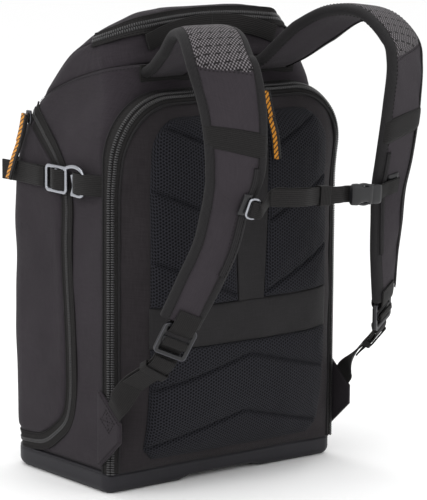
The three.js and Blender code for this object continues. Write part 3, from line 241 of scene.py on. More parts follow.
def shell(name, top, bottom, finish, wrap=False, flat=False):
    """A closed sheet between two grids of the same size: its face, its back, and a rim that joins them."""
    rows, cols = top.shape[:2]
    n = rows * cols
    face, ii, jj = grid_quads(rows, cols, wrap)
    uv = grid_uv(top, wrap)
    quads = [face, face[:, ::-1] + n]
    uvs = [uv[ii, jj], uv[ii, jj][:, ::-1]]

    def rim(edge, i, j):
        a, b = edge[:-1], edge[1:]
        quads.append(np.stack([b, a, a + n, b + n], 1))
        k = np.stack([np.arange(1, len(edge)), np.arange(len(edge) - 1)] * 2, 1)[:, [0, 1, 1, 0]]
        uvs.append(uv[i[k], j[k]])

    ends = np.arange(cols + 1 if wrap else cols)
    for row, turn in ((0, 1), (rows - 1, -1)):
        rim((row * cols + ends % cols)[::turn], np.full(len(ends), row), ends[::turn])
    if not wrap:
        ends = np.arange(rows)
        for col, turn in ((0, -1), (cols - 1, 1)):
            rim((ends * cols + col)[::turn], ends[::turn], np.full(rows, col))
    verts = np.concatenate([top.reshape(-1, 3), bottom.reshape(-1, 3)])
    return put(name, verts, np.concatenate(quads), np.concatenate(uvs), finish, flat)


def tube(name, rings, finish, closed=False, flat=False):
    """A closed body from rings of points carried along a path. Open ends are shut by rings drawn
    together to their middles."""
    if closed:
        rings = np.concatenate([rings, rings[:1]])
    else:
        ends = [np.broadcast_to(rings[k].mean(0), rings[k].shape)[None] for k in (0, -1)]
        rings = np.concatenate([ends[0], rings[:1], rings, rings[-1:], ends[1]])
    rows, cols = rings.shape[:2]
    quads, ii, jj = grid_quads(rows, cols, True)
    uv = grid_uv(rings, True)
    return put(name, rings.reshape(-1, 3), quads, uv[ii, jj], finish, flat)


def rounded(width, thick, radius, steps=3):
    """A closed outline of a rounded rectangle, as points (across, out)."""
    a = np.linspace(0, math.pi / 2, steps)
    corners = [(1, 1, 0), (-1, 1, 1), (-1, -1, 2), (1, -1, 3)]
    ring = [np.stack([sx * (width / 2 - radius) + radius * np.cos(a + q * math.pi / 2),
                      sy * (thick / 2 - radius) + radius * np.sin(a + q * math.pi / 2)], 1)
            for sx, sy, q in corners]
    return np.concatenate(ring)


def carry(path, across, outline, closed=False):
    """Rings of an outline carried along a path: its first number runs along the way across, made square
    to the path, and its second along the way out, square to both."""
    if closed:
        tangent = unit(np.roll(path, -1, 0) - np.roll(path, 1, 0))
    else:
        tangent = unit(np.gradient(path, axis=0))
    across = np.broadcast_to(across, path.shape)
    side = unit(across - np.sum(across * tangent, 1, keepdims=True) * tangent)
    out = -np.cross(side, tangent)
    outline = np.asarray(outline, float)
    if outline.ndim == 2:
        outline = outline[None]
    return (path[:, None] + side[:, None] * outline[..., :1] + out[:, None] * outline[..., 1:]), side, out


def strip(name, path, across, width, finish, thick=WEB, lift=0.0, closed=False):
    """A flat band with soft edges along a path."""
    outline = rounded(width, thick, thick * 0.42, 4) + (0, lift)
    rings, _, _ = carry(path, across, outline, closed)
    return tube(name, rings, finish, closed)


def rod(name, path, across, wide, high, finish, closed=False, power=2.0):
    """A bar of oval section along a path: a superellipse wide by high."""
    a = np.linspace(0, 2 * math.pi, 16, endpoint=False)
    c, s = np.cos(a), np.sin(a)
    outline = np.stack([wide / 2 * np.sign(c) * np.abs(c) ** (2 / power),
                        high / 2 * np.sign(s) * np.abs(s) ** (2 / power)], 1)
    rings, _, _ = carry(path, across, outline, closed)
    return tube(name, rings, finish, closed)


def capsule(length, radius_across, radius_out, sides=6, rings=4):
    """A small rounded bar along its first direction, as points (along, across, out) and faces."""
    a = np.linspace(0, math.pi, rings + 1)
    ring = np.linspace(0, 2 * math.pi, sides, endpoint=False)
    along = -np.cos(a) * length / 2
    size = np.sin(a) ** 0.5 + 0.02
    grid = np.stack([np.broadcast_to(along[:, None], (rings + 1, sides)),
                     size[:, None] * radius_across * np.cos(ring),
                     size[:, None] * radius_out * np.sin(ring)], 2)
    quads, _, _ = grid_quads(rings + 1, sides, True)
    return grid.reshape(-1, 3), quads


def beads(name, routes, template, step, finish):
    """Many copies of one small shape, spaced evenly along routes of points, ways along and ways out,
    each placed by its own three directions and all in one mesh."""
    shape, quads = template
    verts, faces, total = [], [], 0
    for path, out in routes:
        path, out = evenly(path, step, out)
        tangent = unit(np.gradient(path, axis=0))
        out = unit(out - np.sum(out * tangent, 1, keepdims=True) * tangent)
        side = np.cross(out, tangent)
        copy = (path[:, None] + tangent[:, None] * shape[:, :1] + side[:, None] * shape[:, 1:2]
                + out[:, None] * shape[:, 2:])
        verts.append(copy.reshape(-1, 3))
        faces.append((quads[None] + np.arange(len(path))[:, None, None] * len(shape)).reshape(-1, 4) + total)
        total += verts[-1].shape[0]
    return put(name, np.concatenate(verts), np.concatenate(faces), None, finish)


STITCH = capsule(2.5, 0.42, 0.42, 5, 3)


# Finishes

def linear(rgb):
    """A colour measured on screen, from 0 to 255, as the shader's linear colour."""
    c = np.asarray(rgb, float) / 255
    return tuple(np.where(c <= 0.04045, c / 12.92, ((c + 0.055) / 1.055) ** 2.4)) + (1.0,)


class Finish:
    """A material under construction: its shader, the piece's cloth coordinates, and a few node helpers."""

    def __init__(self, name, rgb, rough=0.8, metal=0.0, sheen=0.0, sheen_rough=0.5, specular=0.08):
        self.material = bpy.data.materials.new(name)
        self.material.use_nodes = True
        self.tree = self.material.node_tree
        self.shader = self.tree.nodes["Principled BSDF"]
        self.rgb = linear(rgb)
        for socket, value in (("Base Color", self.rgb), ("Roughness", rough), ("Metallic", metal),
                              ("Sheen Weight", sheen), ("Sheen Roughness", sheen_rough),
                              ("Specular IOR Level", specular)):
            self.shader.inputs[socket].default_value = value
        self.material.diffuse_color = self.rgb

    def node(self, kind, inputs=(), **options):
        made = self.tree.nodes.new(kind)
        for key, value in options.items():
            setattr(made, key, value)
        for socket, value in dict(inputs).items():
            if isinstance(value, bpy.types.NodeSocket):
                self.tree.links.new(value, made.inputs[socket])
            else:
                made.inputs[socket].default_value = value
        return made

    def maths(self, operation, a, b=0.0):
        return self.node("ShaderNodeMath", {0: a, 1: b}, operation=operation).outputs[0]

    def cloth(self):
        """Across and along the piece, in metres."""
        where = self.node("ShaderNodeUVMap", uv_map="cloth").outputs["UV"]
        return where, self.node("ShaderNodeSeparateXYZ", {0: where}).outputs

    def place(self):
        """The point in the object's own space."""
        return self.node("ShaderNodeTexCoord").outputs["Object"]

    def wave(self, along, pitch, phase=0.0):
        """A cosine of a distance, with the pitch in millimetres."""
        return self.maths("COSINE", self.maths("ADD", self.maths("MULTIPLY", along, 2 * math.pi / (pitch * MM)),
                                               phase))

    def noise(self, vector, scale, stretch=(1, 1, 1), detail=3.0):
        """Noise with its own stretch along the three directions."""
        spread = self.node("ShaderNodeMapping", {"Vector": vector, "Scale": stretch}).outputs[0]
        return self.node("ShaderNodeTexNoise", {"Vector": spread, "Scale": scale, "Detail": detail}).outputs[0]

    def tint(self, amount, low, high, share_low=0.0, share_high=1.0):
        """The base colour runs between two multiples of its own as amount runs between two values."""
        factor = self.node("ShaderNodeMapRange", {"Value": amount, "From Min": share_low, "From Max": share_high,
                                                  "To Min": low, "To Max": high}).outputs[0]
        colour = self.node("ShaderNodeVectorMath", {0: self.rgb[:3], "Scale": factor}, operation="SCALE")
        self.tree.links.new(colour.outputs[0], self.shader.inputs["Base Color"])
        return factor

    def raised(self, height, strength, depth):
        """The height, from 0 to 1, as a bump of that depth in millimetres."""
        bump = self.node("ShaderNodeBump", {"Height": height, "Strength": strength, "Distance": depth * MM})
        self.tree.links.new(bump.outputs[0], self.shader.inputs["Normal"])


def woven(name, rgb, pitch=0.9, streak=0.12, depth=0.25, **shader):
    """Plain woven cloth: crossing threads at a pitch in millimetres, and long faint streaks both ways."""
    f = Finish(name, rgb, **shader)
    where, (u, v, _) = f.cloth()
    threads = f.maths("MULTIPLY", f.wave(u, pitch), f.wave(v, pitch))
    level = f.noise(where, 60.0, (1.0, 14.0, 1.0))
    upright = f.noise(where, 60.0, (14.0, 1.0, 1.0))
    mottle = f.noise(f.place(), 14.0)
    grain = f.maths("ADD", f.maths("ADD", level, upright), f.maths("MULTIPLY", mottle, 0.8))
    f.tint(f.maths("ADD", grain, f.maths("MULTIPLY", threads, 0.22)), 1 - 2.4 * streak, 1 + 2.4 * streak, 0.9, 1.9)
    f.raised(f.maths("ADD", f.maths("MULTIPLY", threads, 0.5), f.maths("MULTIPLY", grain, 0.6)), 0.6, depth)
    return f.material


def ribbed(name, rgb, pitch=1.5, **shader):
    """Webbing: cords along its length, crossed by finer threads, and a little wear."""
    f = Finish(name, rgb, **shader)
    where, (u, v, _) = f.cloth()
    rib = f.wave(u, pitch)
    thread = f.wave(v, 1.3)
    worn = f.noise(where, 300.0, (1.0, 3.0, 1.0))
    relief = f.maths("ADD", f.maths("MULTIPLY", rib, 0.3), f.maths("MULTIPLY", f.maths("MULTIPLY", rib, thread), 0.2))
    f.tint(f.maths("ADD", relief, worn), 0.55, 1.6, 0.0, 1.0)
    f.raised(relief, 0.7, 0.45)
    return f.material


def spaced(name, rgb, pitch, **shader):
    """Spacer mesh: light knots on a slanting lattice over a dark ground, with rows of dark slots."""
    f = Finish(name, rgb, **shader)
    where, (u, v, _) = f.cloth()
    one = f.wave(f.maths("ADD", u, f.maths("MULTIPLY", v, 0.8)), pitch)
    two = f.wave(f.maths("SUBTRACT", u, f.maths("MULTIPLY", v, 0.8)), pitch, 0.8)
    knot = f.node("ShaderNodeMapRange", {"Value": f.maths("ADD", one, two), "From Min": -0.5,
                                         "From Max": 1.5}).outputs[0]
    row = f.maths("GREATER_THAN", f.wave(v, 10.4), 0.84)
    slot = f.maths("GREATER_THAN", f.wave(f.maths("ADD", u, f.maths("MULTIPLY", v, 0.35)), 12.0), -0.1)
    gap = f.maths("MULTIPLY", row, slot)
    fuzz = f.noise(f.place(), 1100.0)
    light = f.maths("MULTIPLY", f.maths("SUBTRACT", 1.0, gap), f.maths("MULTIPLY", knot, f.maths("ADD", fuzz, 0.5)))
    f.tint(light, 0.2, 3.2)
    f.raised(light, 0.8, 0.9)
    return f.material


def dotted(name, rgb, pitch, low, high, hole, depth, **shader):
    """Knitted mesh: open cells on a honeycomb, from three cosines a sixth of a turn apart added together."""
    f = Finish(name, rgb, **shader)
    where, (u, v, _) = f.cloth()
    wave = f.wave(u, pitch)
    for way in (1, -1):
        lean = f.maths("ADD", f.maths("MULTIPLY", u, 0.5), f.maths("MULTIPLY", v, way * math.sqrt(3) / 2))
        wave = f.maths("ADD", wave, f.wave(lean, pitch))
    fuzz = f.noise(f.place(), 900.0)
    cell = f.node("ShaderNodeMapRange", {"Value": wave, "From Min": -1.2, "From Max": hole}).outputs[0]
    lively = f.maths("ADD", cell, f.maths("MULTIPLY", f.maths("SUBTRACT", fuzz, 0.5), 0.5))
    f.tint(lively, high, low)
    f.raised(f.maths("SUBTRACT", 1.0, cell), 0.8, depth)
    return f.material


def moulded(name, rgb, scale=900.0, grain=0.12, spread=0.16, **shader):
    """Moulded plastic with a fine sparkle of texture."""
    f = Finish(name, rgb, **shader)
    fine = f.noise(f.place(), scale)
    broad = f.noise(f.place(), 25.0)
    f.tint(f.maths("ADD", fine, broad), 1 - spread, 1 + spread, 0.7, 1.3)
    f.raised(fine, 0.5, grain)
    return f.material


def metal(name, rgb, **shader):
    """Satin metal: fine scratches that catch the light unevenly."""
    f = Finish(name, rgb, metal=1.0, **shader)
    brushed = f.noise(f.place(), 700.0, (1.0, 1.0, 12.0))
    f.tint(brushed, 0.8, 1.15, 0.3, 0.7)
    f.raised(brushed, 0.3, 0.05)
    return f.material


def braided(name, rgb, dark):
    """A two-colour woven pull: dark edges and dark crossings every few millimetres on the bright cord."""
    f = Finish(name, rgb, rough=0.75, sheen=0.2)
    where, (u, v, _) = f.cloth()
    slant = f.maths("ADD", v, f.maths("MULTIPLY", f.maths("ABSOLUTE", u), 0.9))
    knot = f.maths("GREATER_THAN", f.wave(slant, 5.2), 0.45)
    edge = f.maths("GREATER_THAN", f.maths("ABSOLUTE", f.maths("ADD", u, 4.6 * MM)), 2.7 * MM)
    mask = f.maths("MAXIMUM", f.maths("MULTIPLY", knot, 0.92), edge)
    fuzz = f.noise(f.place(), 1200.0)
    mixed = f.node("ShaderNodeMix", {0: mask, 6: f.rgb, 7: linear(dark)}, data_type="RGBA").outputs[2]
    worn = f.node("ShaderNodeVectorMath", {0: mixed, "Scale": f.maths("ADD", fuzz, 0.5)}, operation="SCALE")
    f.tree.links.new(worn.outputs[0], f.shader.inputs["Base Color"])
    f.raised(f.maths("MULTIPLY", f.wave(slant, 2.2), f.wave(u, 2.6)), 0.6, 0.5)
    return f.material


FINISH = {
    "shell": woven("shell_cloth", (44, 40, 44), sheen=0.05, rough=0.85),
    "door": woven("door_cloth", (41, 38, 40), sheen=0.03, rough=0.85),
    "strap": woven("strap_cloth", (52, 48, 52), sheen=0.05, rough=0.85, streak=0.08),
    "sleeve": woven("sleeve_cloth", (40, 39, 40), sheen=0.03, rough=0.8, streak=0.1),
    "mesh": dotted("air_mesh", (30, 30, 34), 3.0, 0.18, 1.6, 1.6, 0.8, sheen=0.02, rough=0.8),
    "spacer": spaced("spacer_mesh", (72, 69, 71), 3.8, sheen=0.05, rough=0.75),
    "binding": ribbed("edge_binding", (34, 33, 34), pitch=1.3, rough=0.7, sheen=0.04),
    "webbing": ribbed("webbing", (31, 30, 30), pitch=1.9, rough=0.65, sheen=0.03),
    "tape": ribbed("zip_tape", (36, 35, 35), pitch=1.2, rough=0.8),
    "teeth": moulded("zip_teeth", (44, 43, 44), rough=0.3, specular=0.6),
    "thread": moulded("stitching", (34, 32, 33), scale=2500.0, rough=0.7),
    "base": moulded("moulded_base", (35, 34, 38), rough=0.5, specular=0.2, grain=0.2),
    "plastic": moulded("buckle_plastic", (26, 26, 28), rough=0.35, specular=0.4),
    "bright": metal("satin_metal", (160, 162, 168), rough=0.3),
    "dark": metal("dark_metal", (80, 80, 84), rough=0.35),
    "pull": braided("pull_cord", (205, 136, 38), (18, 16, 16)),
    "rail": ribbed("rail_webbing", (36, 35, 36), pitch=2.0, rough=0.7),
}
SLOT_OF = {
    "shell": "shell_cloth", "door": "door_cloth", "strap": "strap_cloth", "sleeve": "sleeve_cloth",
    "mesh": "air_mesh", "spacer": "air_mesh", "binding": "strap_cloth", "webbing": "webbing", "tape": "zip",
    "teeth": "zip", "thread": "webbing", "base": "moulded_base", "plastic": "buckle_plastic",
    "bright": "bright_metal", "dark": "dark_metal", "pull": "pull_cord", "rail": "strap_rail",
}


def reflect(obj):
    """Mirrors a piece in the plane between left and right."""
    co = np.empty(len(obj.data.vertices) * 3)
    obj.data.vertices.foreach_get("co", co)
    co[0::3] *= -1
    obj.data.vertices.foreach_set("co", co)
    obj.data.flip_normals()


def twin(obj, name):
    """A second piece that is the mirror image of the first."""
    other = bpy.data.objects.new(name, obj.data.copy())
    other.data.name = name
    reflect(other)
    bpy.context.scene.collection.objects.link(other)
    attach(other, BODY)
    if "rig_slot" in obj:
        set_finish(other, obj["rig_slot"])
    return other


def both(obj, *nodes):
    """A piece drawn on the left with its mirror image on the right, standing for the nodes of either side."""
    other = twin(obj, obj.name.replace("_left", "_right"))
    for n in nodes:
        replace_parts(obj, n + "_left")
        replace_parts(other, n + "_right")
    return obj, other


# The bag's surface

def section(z, offset=0.0):
    """Half width, front, rear and corner radii of the bag at a height, grown outwards by offset."""
    rows = [through(np.asarray(z, float) / BAG_HEIGHT, SECTIONS[:, 0], SECTIONS[:, k]) for k in range(1, 6)]
    w = rows[0] * HALF_WIDTH + offset
    f = rows[1] * HALF_DEPTH + offset
    r = -rows[2] * HALF_DEPTH - offset
    most = np.minimum(w, (f - r) / 2) - 0.5
    return (w, f, r, np.minimum(np.maximum(rows[3] * CORNER + offset, 1), most),
            np.minimum(np.maximum(rows[4] * CORNER + offset, 1), most))


def left_half(s, z, offset=0.0):
    """Points of the bag's left half: s from 0 at the middle of the rear, to 1 at the end of the rear
    straight, 2 at the end of its corner, 3 along the side, 4 round the front corner, 5 at the middle."""
    w, f, r, fr, rr = section(z, offset)
    part = [np.clip(np.asarray(s, float) - k, 0, 1) for k in range(5)]
    a, b = part[1] * math.pi / 2, part[3] * math.pi / 2
    x = -(w - rr) * part[0] - rr * np.sin(a) + fr * (1 - np.cos(b)) + (w - fr) * part[4]
    y = r + rr * (1 - np.cos(a)) + (f - fr - r - rr) * part[2] + fr * np.sin(b)
    return np.stack(np.broadcast_arrays(x, y, np.asarray(z, float)), -1)


def ring_places(straights=(10, 14, 26, 14, 12)):
    """Places once round the whole bag: the left half from rear to front, then the right half back."""
    left = np.concatenate([np.linspace(k, k + 1, n, endpoint=False) for k, n in enumerate(straights)] + [[5.0]])
    return np.concatenate([left, left[::-1][1:-1]]), np.concatenate([np.ones(len(left)),
                                                                    -np.ones(len(left) - 2)])


def on_bag(s, way, z, offset=0.0):
    """Points on the bag at a place s of either half, with way 1 on the left and -1 on the right."""
    p = left_half(s, z, offset)
    p[..., 0] *= way
    return p


def rise(x, y):
    """How far the lid's zip rises in the middle of the rear above its height at the sides."""
    t = np.clip((20.0 - y) / 80.0, 0, 1)
    return 12.0 * np.maximum(1 - (x / 120.0) ** 2, 0) * t * t * (3 - 2 * t)


def seam_heights(table, s, arched):
    """Height at which the bag meets a seam drawn from the side, at each place s: found by moving the
    point to the seam's height again and again until it lies on both."""
    order = np.argsort(table[:, 0])
    ys, zs = table[order, 0] * HALF_DEPTH, table[order, 1] * BAG_HEIGHT
    z = np.full(len(s), 0.85 * BAG_HEIGHT)
    for _ in range(60):
        p = left_half(s, z)
        aim = through(p[:, 1], ys, zs) + (rise(p[:, 0], p[:, 1]) if arched else 0)
        z = z + 0.5 * (aim - z)
    return z


def facing(s, z, step=0.4):
    """The bag's outward direction on the left half, from its slopes round it and up it."""
    back, ahead = np.clip(s - 0.01, 0, 5), np.clip(s + 0.01, 0, 5)
    round_it = left_half(ahead, z) - left_half(back, z)
    up = left_half(s, z + step) - left_half(s, z - step)
    return unit(np.cross(up, round_it))


def place_of(y, z):
    """The place s at which the left half has a given y at each height, by looking along a fine ring."""
    fine = np.linspace(1.0, 4.0, 400)
    ys = left_half(fine[None], np.asarray(z)[:, None])[..., 1]
    k = np.clip(np.sum(ys < np.asarray(y)[:, None], axis=1), 1, len(fine) - 1)
    rows = np.arange(len(k))
    share = (y - ys[rows, k - 1]) / np.maximum(ys[rows, k] - ys[rows, k - 1], 1e-6)
    return fine[k - 1] + np.clip(share, 0, 1) * (fine[k] - fine[k - 1])


TOOTH = (capsule(4.3, 1.0, 1.0, 6, 4)[0][:, [1, 0, 2]], capsule(4.3, 1.0, 1.0, 6, 4)[1])
FINE_TOOTH = (capsule(2.3, 0.6, 0.7, 6, 3)[0][:, [1, 0, 2]], capsule(2.3, 0.6, 0.7, 6, 3)[1])
TOOTH_STEP = 2.5


def cloth_sheet(name, top, out, thick, finish, wrap=False):
    """A sheet of cloth with its face given as a grid and its back a thickness behind it."""
    return shell(name, top, top - out * thick, finish, wrap)


def bag_panel(name, low, high, rows, seed, finish="shell", thick=3.0, wrinkle=0.45, rings=None):
    """A panel round the bag between two seam heights, drawn in a little at each seam, and rippled."""
    s, way = ring_places()
    v = np.linspace(0, 1, rows)[:, None] if rings is None else rings[:, None]
    z = low + (high - low) * v
    p = on_bag(s[None], way[None], z)
    out = grid_normals(np.concatenate([p[:, -2:], p, p[:, :2]], 1))[:, 2:-2]
    edge = np.minimum(z - low, high - z)
    pucker = 0.3 * np.sin(lengths(p[0]) * (2 * math.pi / 13) + 3 * np.sin(lengths(p[0]) / 37)) * np.exp(-edge / 9)
    lift = (-1.7 * np.exp(-edge / 2.4) + ripple(p, seed, wrinkle, 30, 140) * smooth(edge / 12)
            + pucker * smooth(edge / 3))
    p = p + out * lift[..., None]
    return p, out, cloth_sheet(name, p, out, thick, finish, True) if name else None


def zip_run(name, path, out, nodes=(), tape_width=17.0, fine=False):
    """A coil zip along a path on the bag: its tape, two rows of teeth, a cord along each edge, and
    stitches beside them. A fine zip has smaller teeth."""
    path, out = evenly(path, 3.0, out)
    out = unit(out)
    tangent = unit(np.gradient(path, axis=0))
    side = unit(np.cross(out, tangent))
    tape = strip(name + "_tape", path, side, tape_width, "tape", 1.2, 0.5)
    spread, template, step = (1.0, FINE_TOOTH, 1.7) if fine else (2.1, TOOTH, TOOTH_STEP)
    rows = [(path + side * spread * k + out * 1.5, out) for k in (-1, 1)]
    teeth = beads(name + "_teeth", rows, template, step, "teeth")
    seams = [(path + side * k * 6.6 + out * 1.15, out) for k in (-1, 1)]
    sewn = beads(name + "_stitches", seams, STITCH, 4.2, "thread")
    cords = [rod(f"{name}_edge_{k}", path + side * (tape_width / 2 * way) + out * 0.7, side, 1.7, 2.0, "tape")
             for k, way in (("a", 1), ("b", -1))]
    made = [tape, teeth, sewn, *cords]
    made += [twin(o, o.name + "_right") for o in made]
    for o in made[:1]:
        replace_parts(o, *nodes)
    return made


# Body, lid and base

s_all, way_all = ring_places()
cap_z = seam_heights(CAP_SEAM, s_all, False)
zip_z = np.maximum(seam_heights(LID_ZIP, s_all, True), cap_z + 0.6)
BODY_LOW = BASE_HEIGHT + GAP

_, _, body = bag_panel("body_cloth", BODY_LOW, cap_z - 0.2, 70, 11)
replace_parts(body, "body_shell")
_, _, gusset = bag_panel("cap_gusset_cloth", cap_z + 0.2, zip_z - 0.2, 22, 12, wrinkle=0.3)
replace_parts(gusset, "cap_gusset")


def seam_row(name, drop, s0=1.0, s1=4.9):
    """A row of stitches along the cap seam on either side, a distance below it."""
    s = np.linspace(s0, s1, 400)
    z = seam_heights(CAP_SEAM, s, False) - drop
    twin(beads(name, [(left_half(s, z, 0.15), facing(s, z))], STITCH, 4.0, "thread"), name + "_right")


seam_row("cap_seam_stitches", 3.6)


def lid_piece():
    """The lid: rings of the bag above its zip, closer together towards the crown, then rings drawn in to
    the middle of the top and slightly domed."""
    top = BAG_HEIGHT - 0.4
    v = np.sin(np.linspace(0, math.pi / 2, 34)) ** 0.9
    z = zip_z + 0.2 + (top - zip_z - 0.2) * v[:, None]
    p = on_bag(s_all[None], way_all[None], z)
    last = p[-1]
    middle = last.mean(0)
    shrink = np.array([0.72, 0.45, 0.2, 0.02])[:, None, None]
    crown = middle + (last - middle) * shrink
    crown[..., 2] += 0.5 * (1 - shrink[..., 0] ** 2)
    p = np.concatenate([p, crown])
    out = grid_normals(np.concatenate([p[:, -2:], p, p[:, :2]], 1))[:, 2:-2]
    out[-5:] = unit(out[-5:] * 0.2 + np.array([0, 0, 1.0]))
    edge = np.concatenate([z - zip_z, np.full((4, z.shape[1]), 40.0)])
    p = p + out * (-1.1 * np.exp(-edge / 2.2) + ripple(p, 13, 0.35, 35, 120) * smooth(edge / 14))[..., None]
    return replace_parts(cloth_sheet("lid_cloth", p, out, 2.5, "shell", True), "lid")


lid_piece()


def base_piece():
    """The moulded base: rounded rings from the floor up, with a shallow arch at the front and the rear
    where the underside rises, and a rim line under the cloth."""
    s, way = s_all, way_all
    foot = [HALF_WIDTH, HALF_DEPTH * 0.967, -HALF_DEPTH * 1.01, CORNER, CORNER * 0.45]

    def ring(inset, z):
        w, f, r = foot[0] - inset, foot[1] - inset, foot[2] + inset
        fr, rr = max(foot[3] - inset, 2.0), max(foot[4] - inset, 2.0)
        part = [np.clip(s - k, 0, 1) for k in range(5)]
        a, b = part[1] * math.pi / 2, part[3] * math.pi / 2
        x = -(w - rr) * part[0] - rr * np.sin(a) + fr * (1 - np.cos(b)) + (w - fr) * part[4]
        y = r + rr * (1 - np.cos(a)) + (f - fr - r - rr) * part[2] + fr * np.sin(b)
        return np.stack([x * way, y, np.full(len(s), z)], 1)

    turns = np.linspace(0, math.pi / 2, 9)
    rows = [ring(k, 0.0) for k in (60.0, 40.0, 22.0, 12.0)]
    rows += [ring(9 * (1 - math.sin(t)), 9 * (1 - math.cos(t))) for t in turns]
    rows += [ring(k, z) for k, z in ((0, 13), (0, 17), (0, 19), (1.2, 19.6), (1.2, 20.6), (0.2, 21.2), (0.4, 21.9),
                                     (14, 21.9), (50, 21.9))]
    p = np.array(rows)
    arch = smooth((56 - np.abs(p[..., 0])) / 9) * smooth((np.abs(p[..., 1]) - 44) / 8)
    low = smooth((13 - p[..., 2]) / 13)
    p[..., 2] += 4.2 * arch * low
    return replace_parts(tube("base_tray_moulding", p, "base"), "base_tray")


base_piece()

# Front pocket and the zips that lie on the bag

ORDER = np.argsort(POCKET_ZIP[:, 1], kind="stable")
pocket_y, pocket_z = POCKET_ZIP[:, 0] * HALF_DEPTH, POCKET_ZIP[:, 1] * BAG_HEIGHT


def pocket_line(n=240):
    """The side-view line of the pocket's zip, in even steps, and its left-hand way across."""
    line = spline(np.stack([pocket_y, pocket_z], 1), np.linspace(0, 1, n))
    line, = evenly(line, 2.0)
    along = unit(np.gradient(line, axis=0))
    return line, np.stack([-along[:, 1], along[:, 0]], 1)


def pocket_piece():
    """The front pocket: at each height the bag's ring from the zip on one side, round both corners, to
    the zip on the other, swelling away from its seams."""
    line, across = pocket_line()
    edge = line - across * 9.4
    keep = np.concatenate([[True], np.diff(np.maximum.accumulate(edge[:, 1])) > 0])
    edge = edge[keep & (edge[:, 0] < 60)]
    z_low, z_high = edge[0, 1], 373.2
    z = z_low + (z_high - z_low) * (1 - np.cos(np.linspace(0, math.pi, 90))) / 2
    y_edge = np.interp(z, edge[:, 1], edge[:, 0])
    start = place_of(y_edge, z)
    half = [start[:, None] + (3 - start[:, None]) * np.linspace(0, 1, 22, endpoint=False),
            np.broadcast_to(np.linspace(3, 4, 12, endpoint=False), (90, 12)),
            np.broadcast_to(np.linspace(4, 5, 15), (90, 15))]
    left = np.sort(np.concatenate(half, 1), 1)
    s = np.concatenate([left, left[:, ::-1][:, 1:]], 1)
    way = np.concatenate([np.ones(left.shape[1]), -np.ones(left.shape[1] - 1)])
    p = on_bag(s, way[None], z[:, None])
    out = grid_normals(p)
    run = lengths(p[45])
    rim = np.minimum(np.minimum(run, run[-1] - run)[None], np.minimum(z - z_low, z_high - z)[:, None])
    lift = 0.9 + 1.9 * smooth(rim / 6) + 1.6 * smooth(rim / 60) + ripple(p, 21, 0.5, 35, 150) * smooth(rim / 15)
    p = p + out * lift[..., None]
    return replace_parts(shell("front_pocket_cloth", p, p - out * 2.4, "shell"), "front_pocket")


pocket_piece()

line, _ = pocket_line()
low_front = np.stack([np.linspace(0, 1, 60)], 1)
s_line = place_of(line[:, 0], line[:, 1])
s_front = np.linspace(5, s_line[0], 60, endpoint=False)
s_route = np.concatenate([s_front, s_line])
z_route = np.concatenate([np.full(60, line[0, 1]), line[:, 1]])
zip_run("pocket_zip", left_half(s_route, z_route, 0.6), facing(s_route, z_route), ["pocket_zip"], fine=True)

ahead = np.linspace(0.0, 3.0, 900)
zip_high = seam_heights(LID_ZIP, ahead, True)
reach = left_half(ahead, zip_high)[:, 1] < 43
zip_run("lid_zip", left_half(ahead[reach], zip_high[reach], 0.6), facing(ahead[reach], zip_high[reach]),
        ["lid_zip"])

low_edge = np.linspace(0.0, 1.0, 80)
band_z = seam_heights(LID_ZIP, low_edge, True)
from_middle = left_half(low_edge, band_z)[:, 0] / 90.0
band_arch = np.clip(1 - from_middle ** 2, 0, 1)
band_z = band_z - 23.0 + 16.0 * band_arch
band_path = left_half(low_edge, band_z, 1.0 + 3.2 * band_arch)
keep = band_path[:, 0] > -90
rear_band = strip("cap_rear_webbing", band_path[keep], np.array([0, 0, 1.0]), 18.0, "webbing", 1.6)
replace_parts(rear_band, "cap_rear_band")
twin(rear_band, "cap_rear_webbing_right")

yoke_s = np.linspace(0.0, 1.0, 80)
yoke_z = np.full(80, 425.0)
yoke_path = left_half(yoke_s, yoke_z, 1.3)
keep = yoke_path[:, 0] > -112
yoke = strip("yoke_band", yoke_path[keep], np.array([0, 0, 1.0]), 24.0, "webbing", 2.0)
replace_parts(yoke, "yoke_webbing")
twin(yoke, "yoke_band_right")

# Back door

DOOR_HALF = HALF_WIDTH - DOOR_INSET


def door_half(z):
    up = np.clip(z - (DOOR_TOP - DOOR_CORNER), 0, DOOR_CORNER)
    return DOOR_HALF - DOOR_CORNER + np.sqrt(np.maximum(DOOR_CORNER ** 2 - up ** 2, 0))


def arch_out(z):
    return ARCH_LIFT * smooth((z - ARCH_FROM) / (ARCH_TO - ARCH_FROM))


def door_y(x, z):
    """The door's outer surface: flat at its edge and swelling towards its middle."""
    across = np.minimum(np.abs(x) / door_half(z), 1)
    middle = (DOOR_TOP + BASE_HEIGHT) / 2
    up = np.minimum(np.abs(z - middle) / (DOOR_TOP - middle), 1)
    return SEAM_Y - GAP - DOOR_INSET - arch_out(z) - DOOR_CROWN * (1 - across ** 3.85) * (1 - up ** 3.8)


def on_door(x, z, height):
    return np.stack(np.broadcast_arrays(x, door_y(x, z) - height, z), -1)


def door_piece():
    """The door's cloth: a grid as wide as its rounded outline at each height."""
    z = BODY_LOW + (DOOR_TOP - BODY_LOW) * np.sin(np.linspace(0, math.pi / 2, 90))[:, None]
    u = np.sin(np.linspace(-1, 1, 90) * math.pi / 2)[None]
    x = -u * door_half(z)
    p = on_door(x, z + 0 * x, 0)
    p[..., 1] -= ripple(p, 31, 0.5, 30, 110)
    back = p.copy()
    back[..., 1] += 8.0
    obj = shell("back_door_cloth", p, back, "door")
    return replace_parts(obj, "back_door")


door_piece()


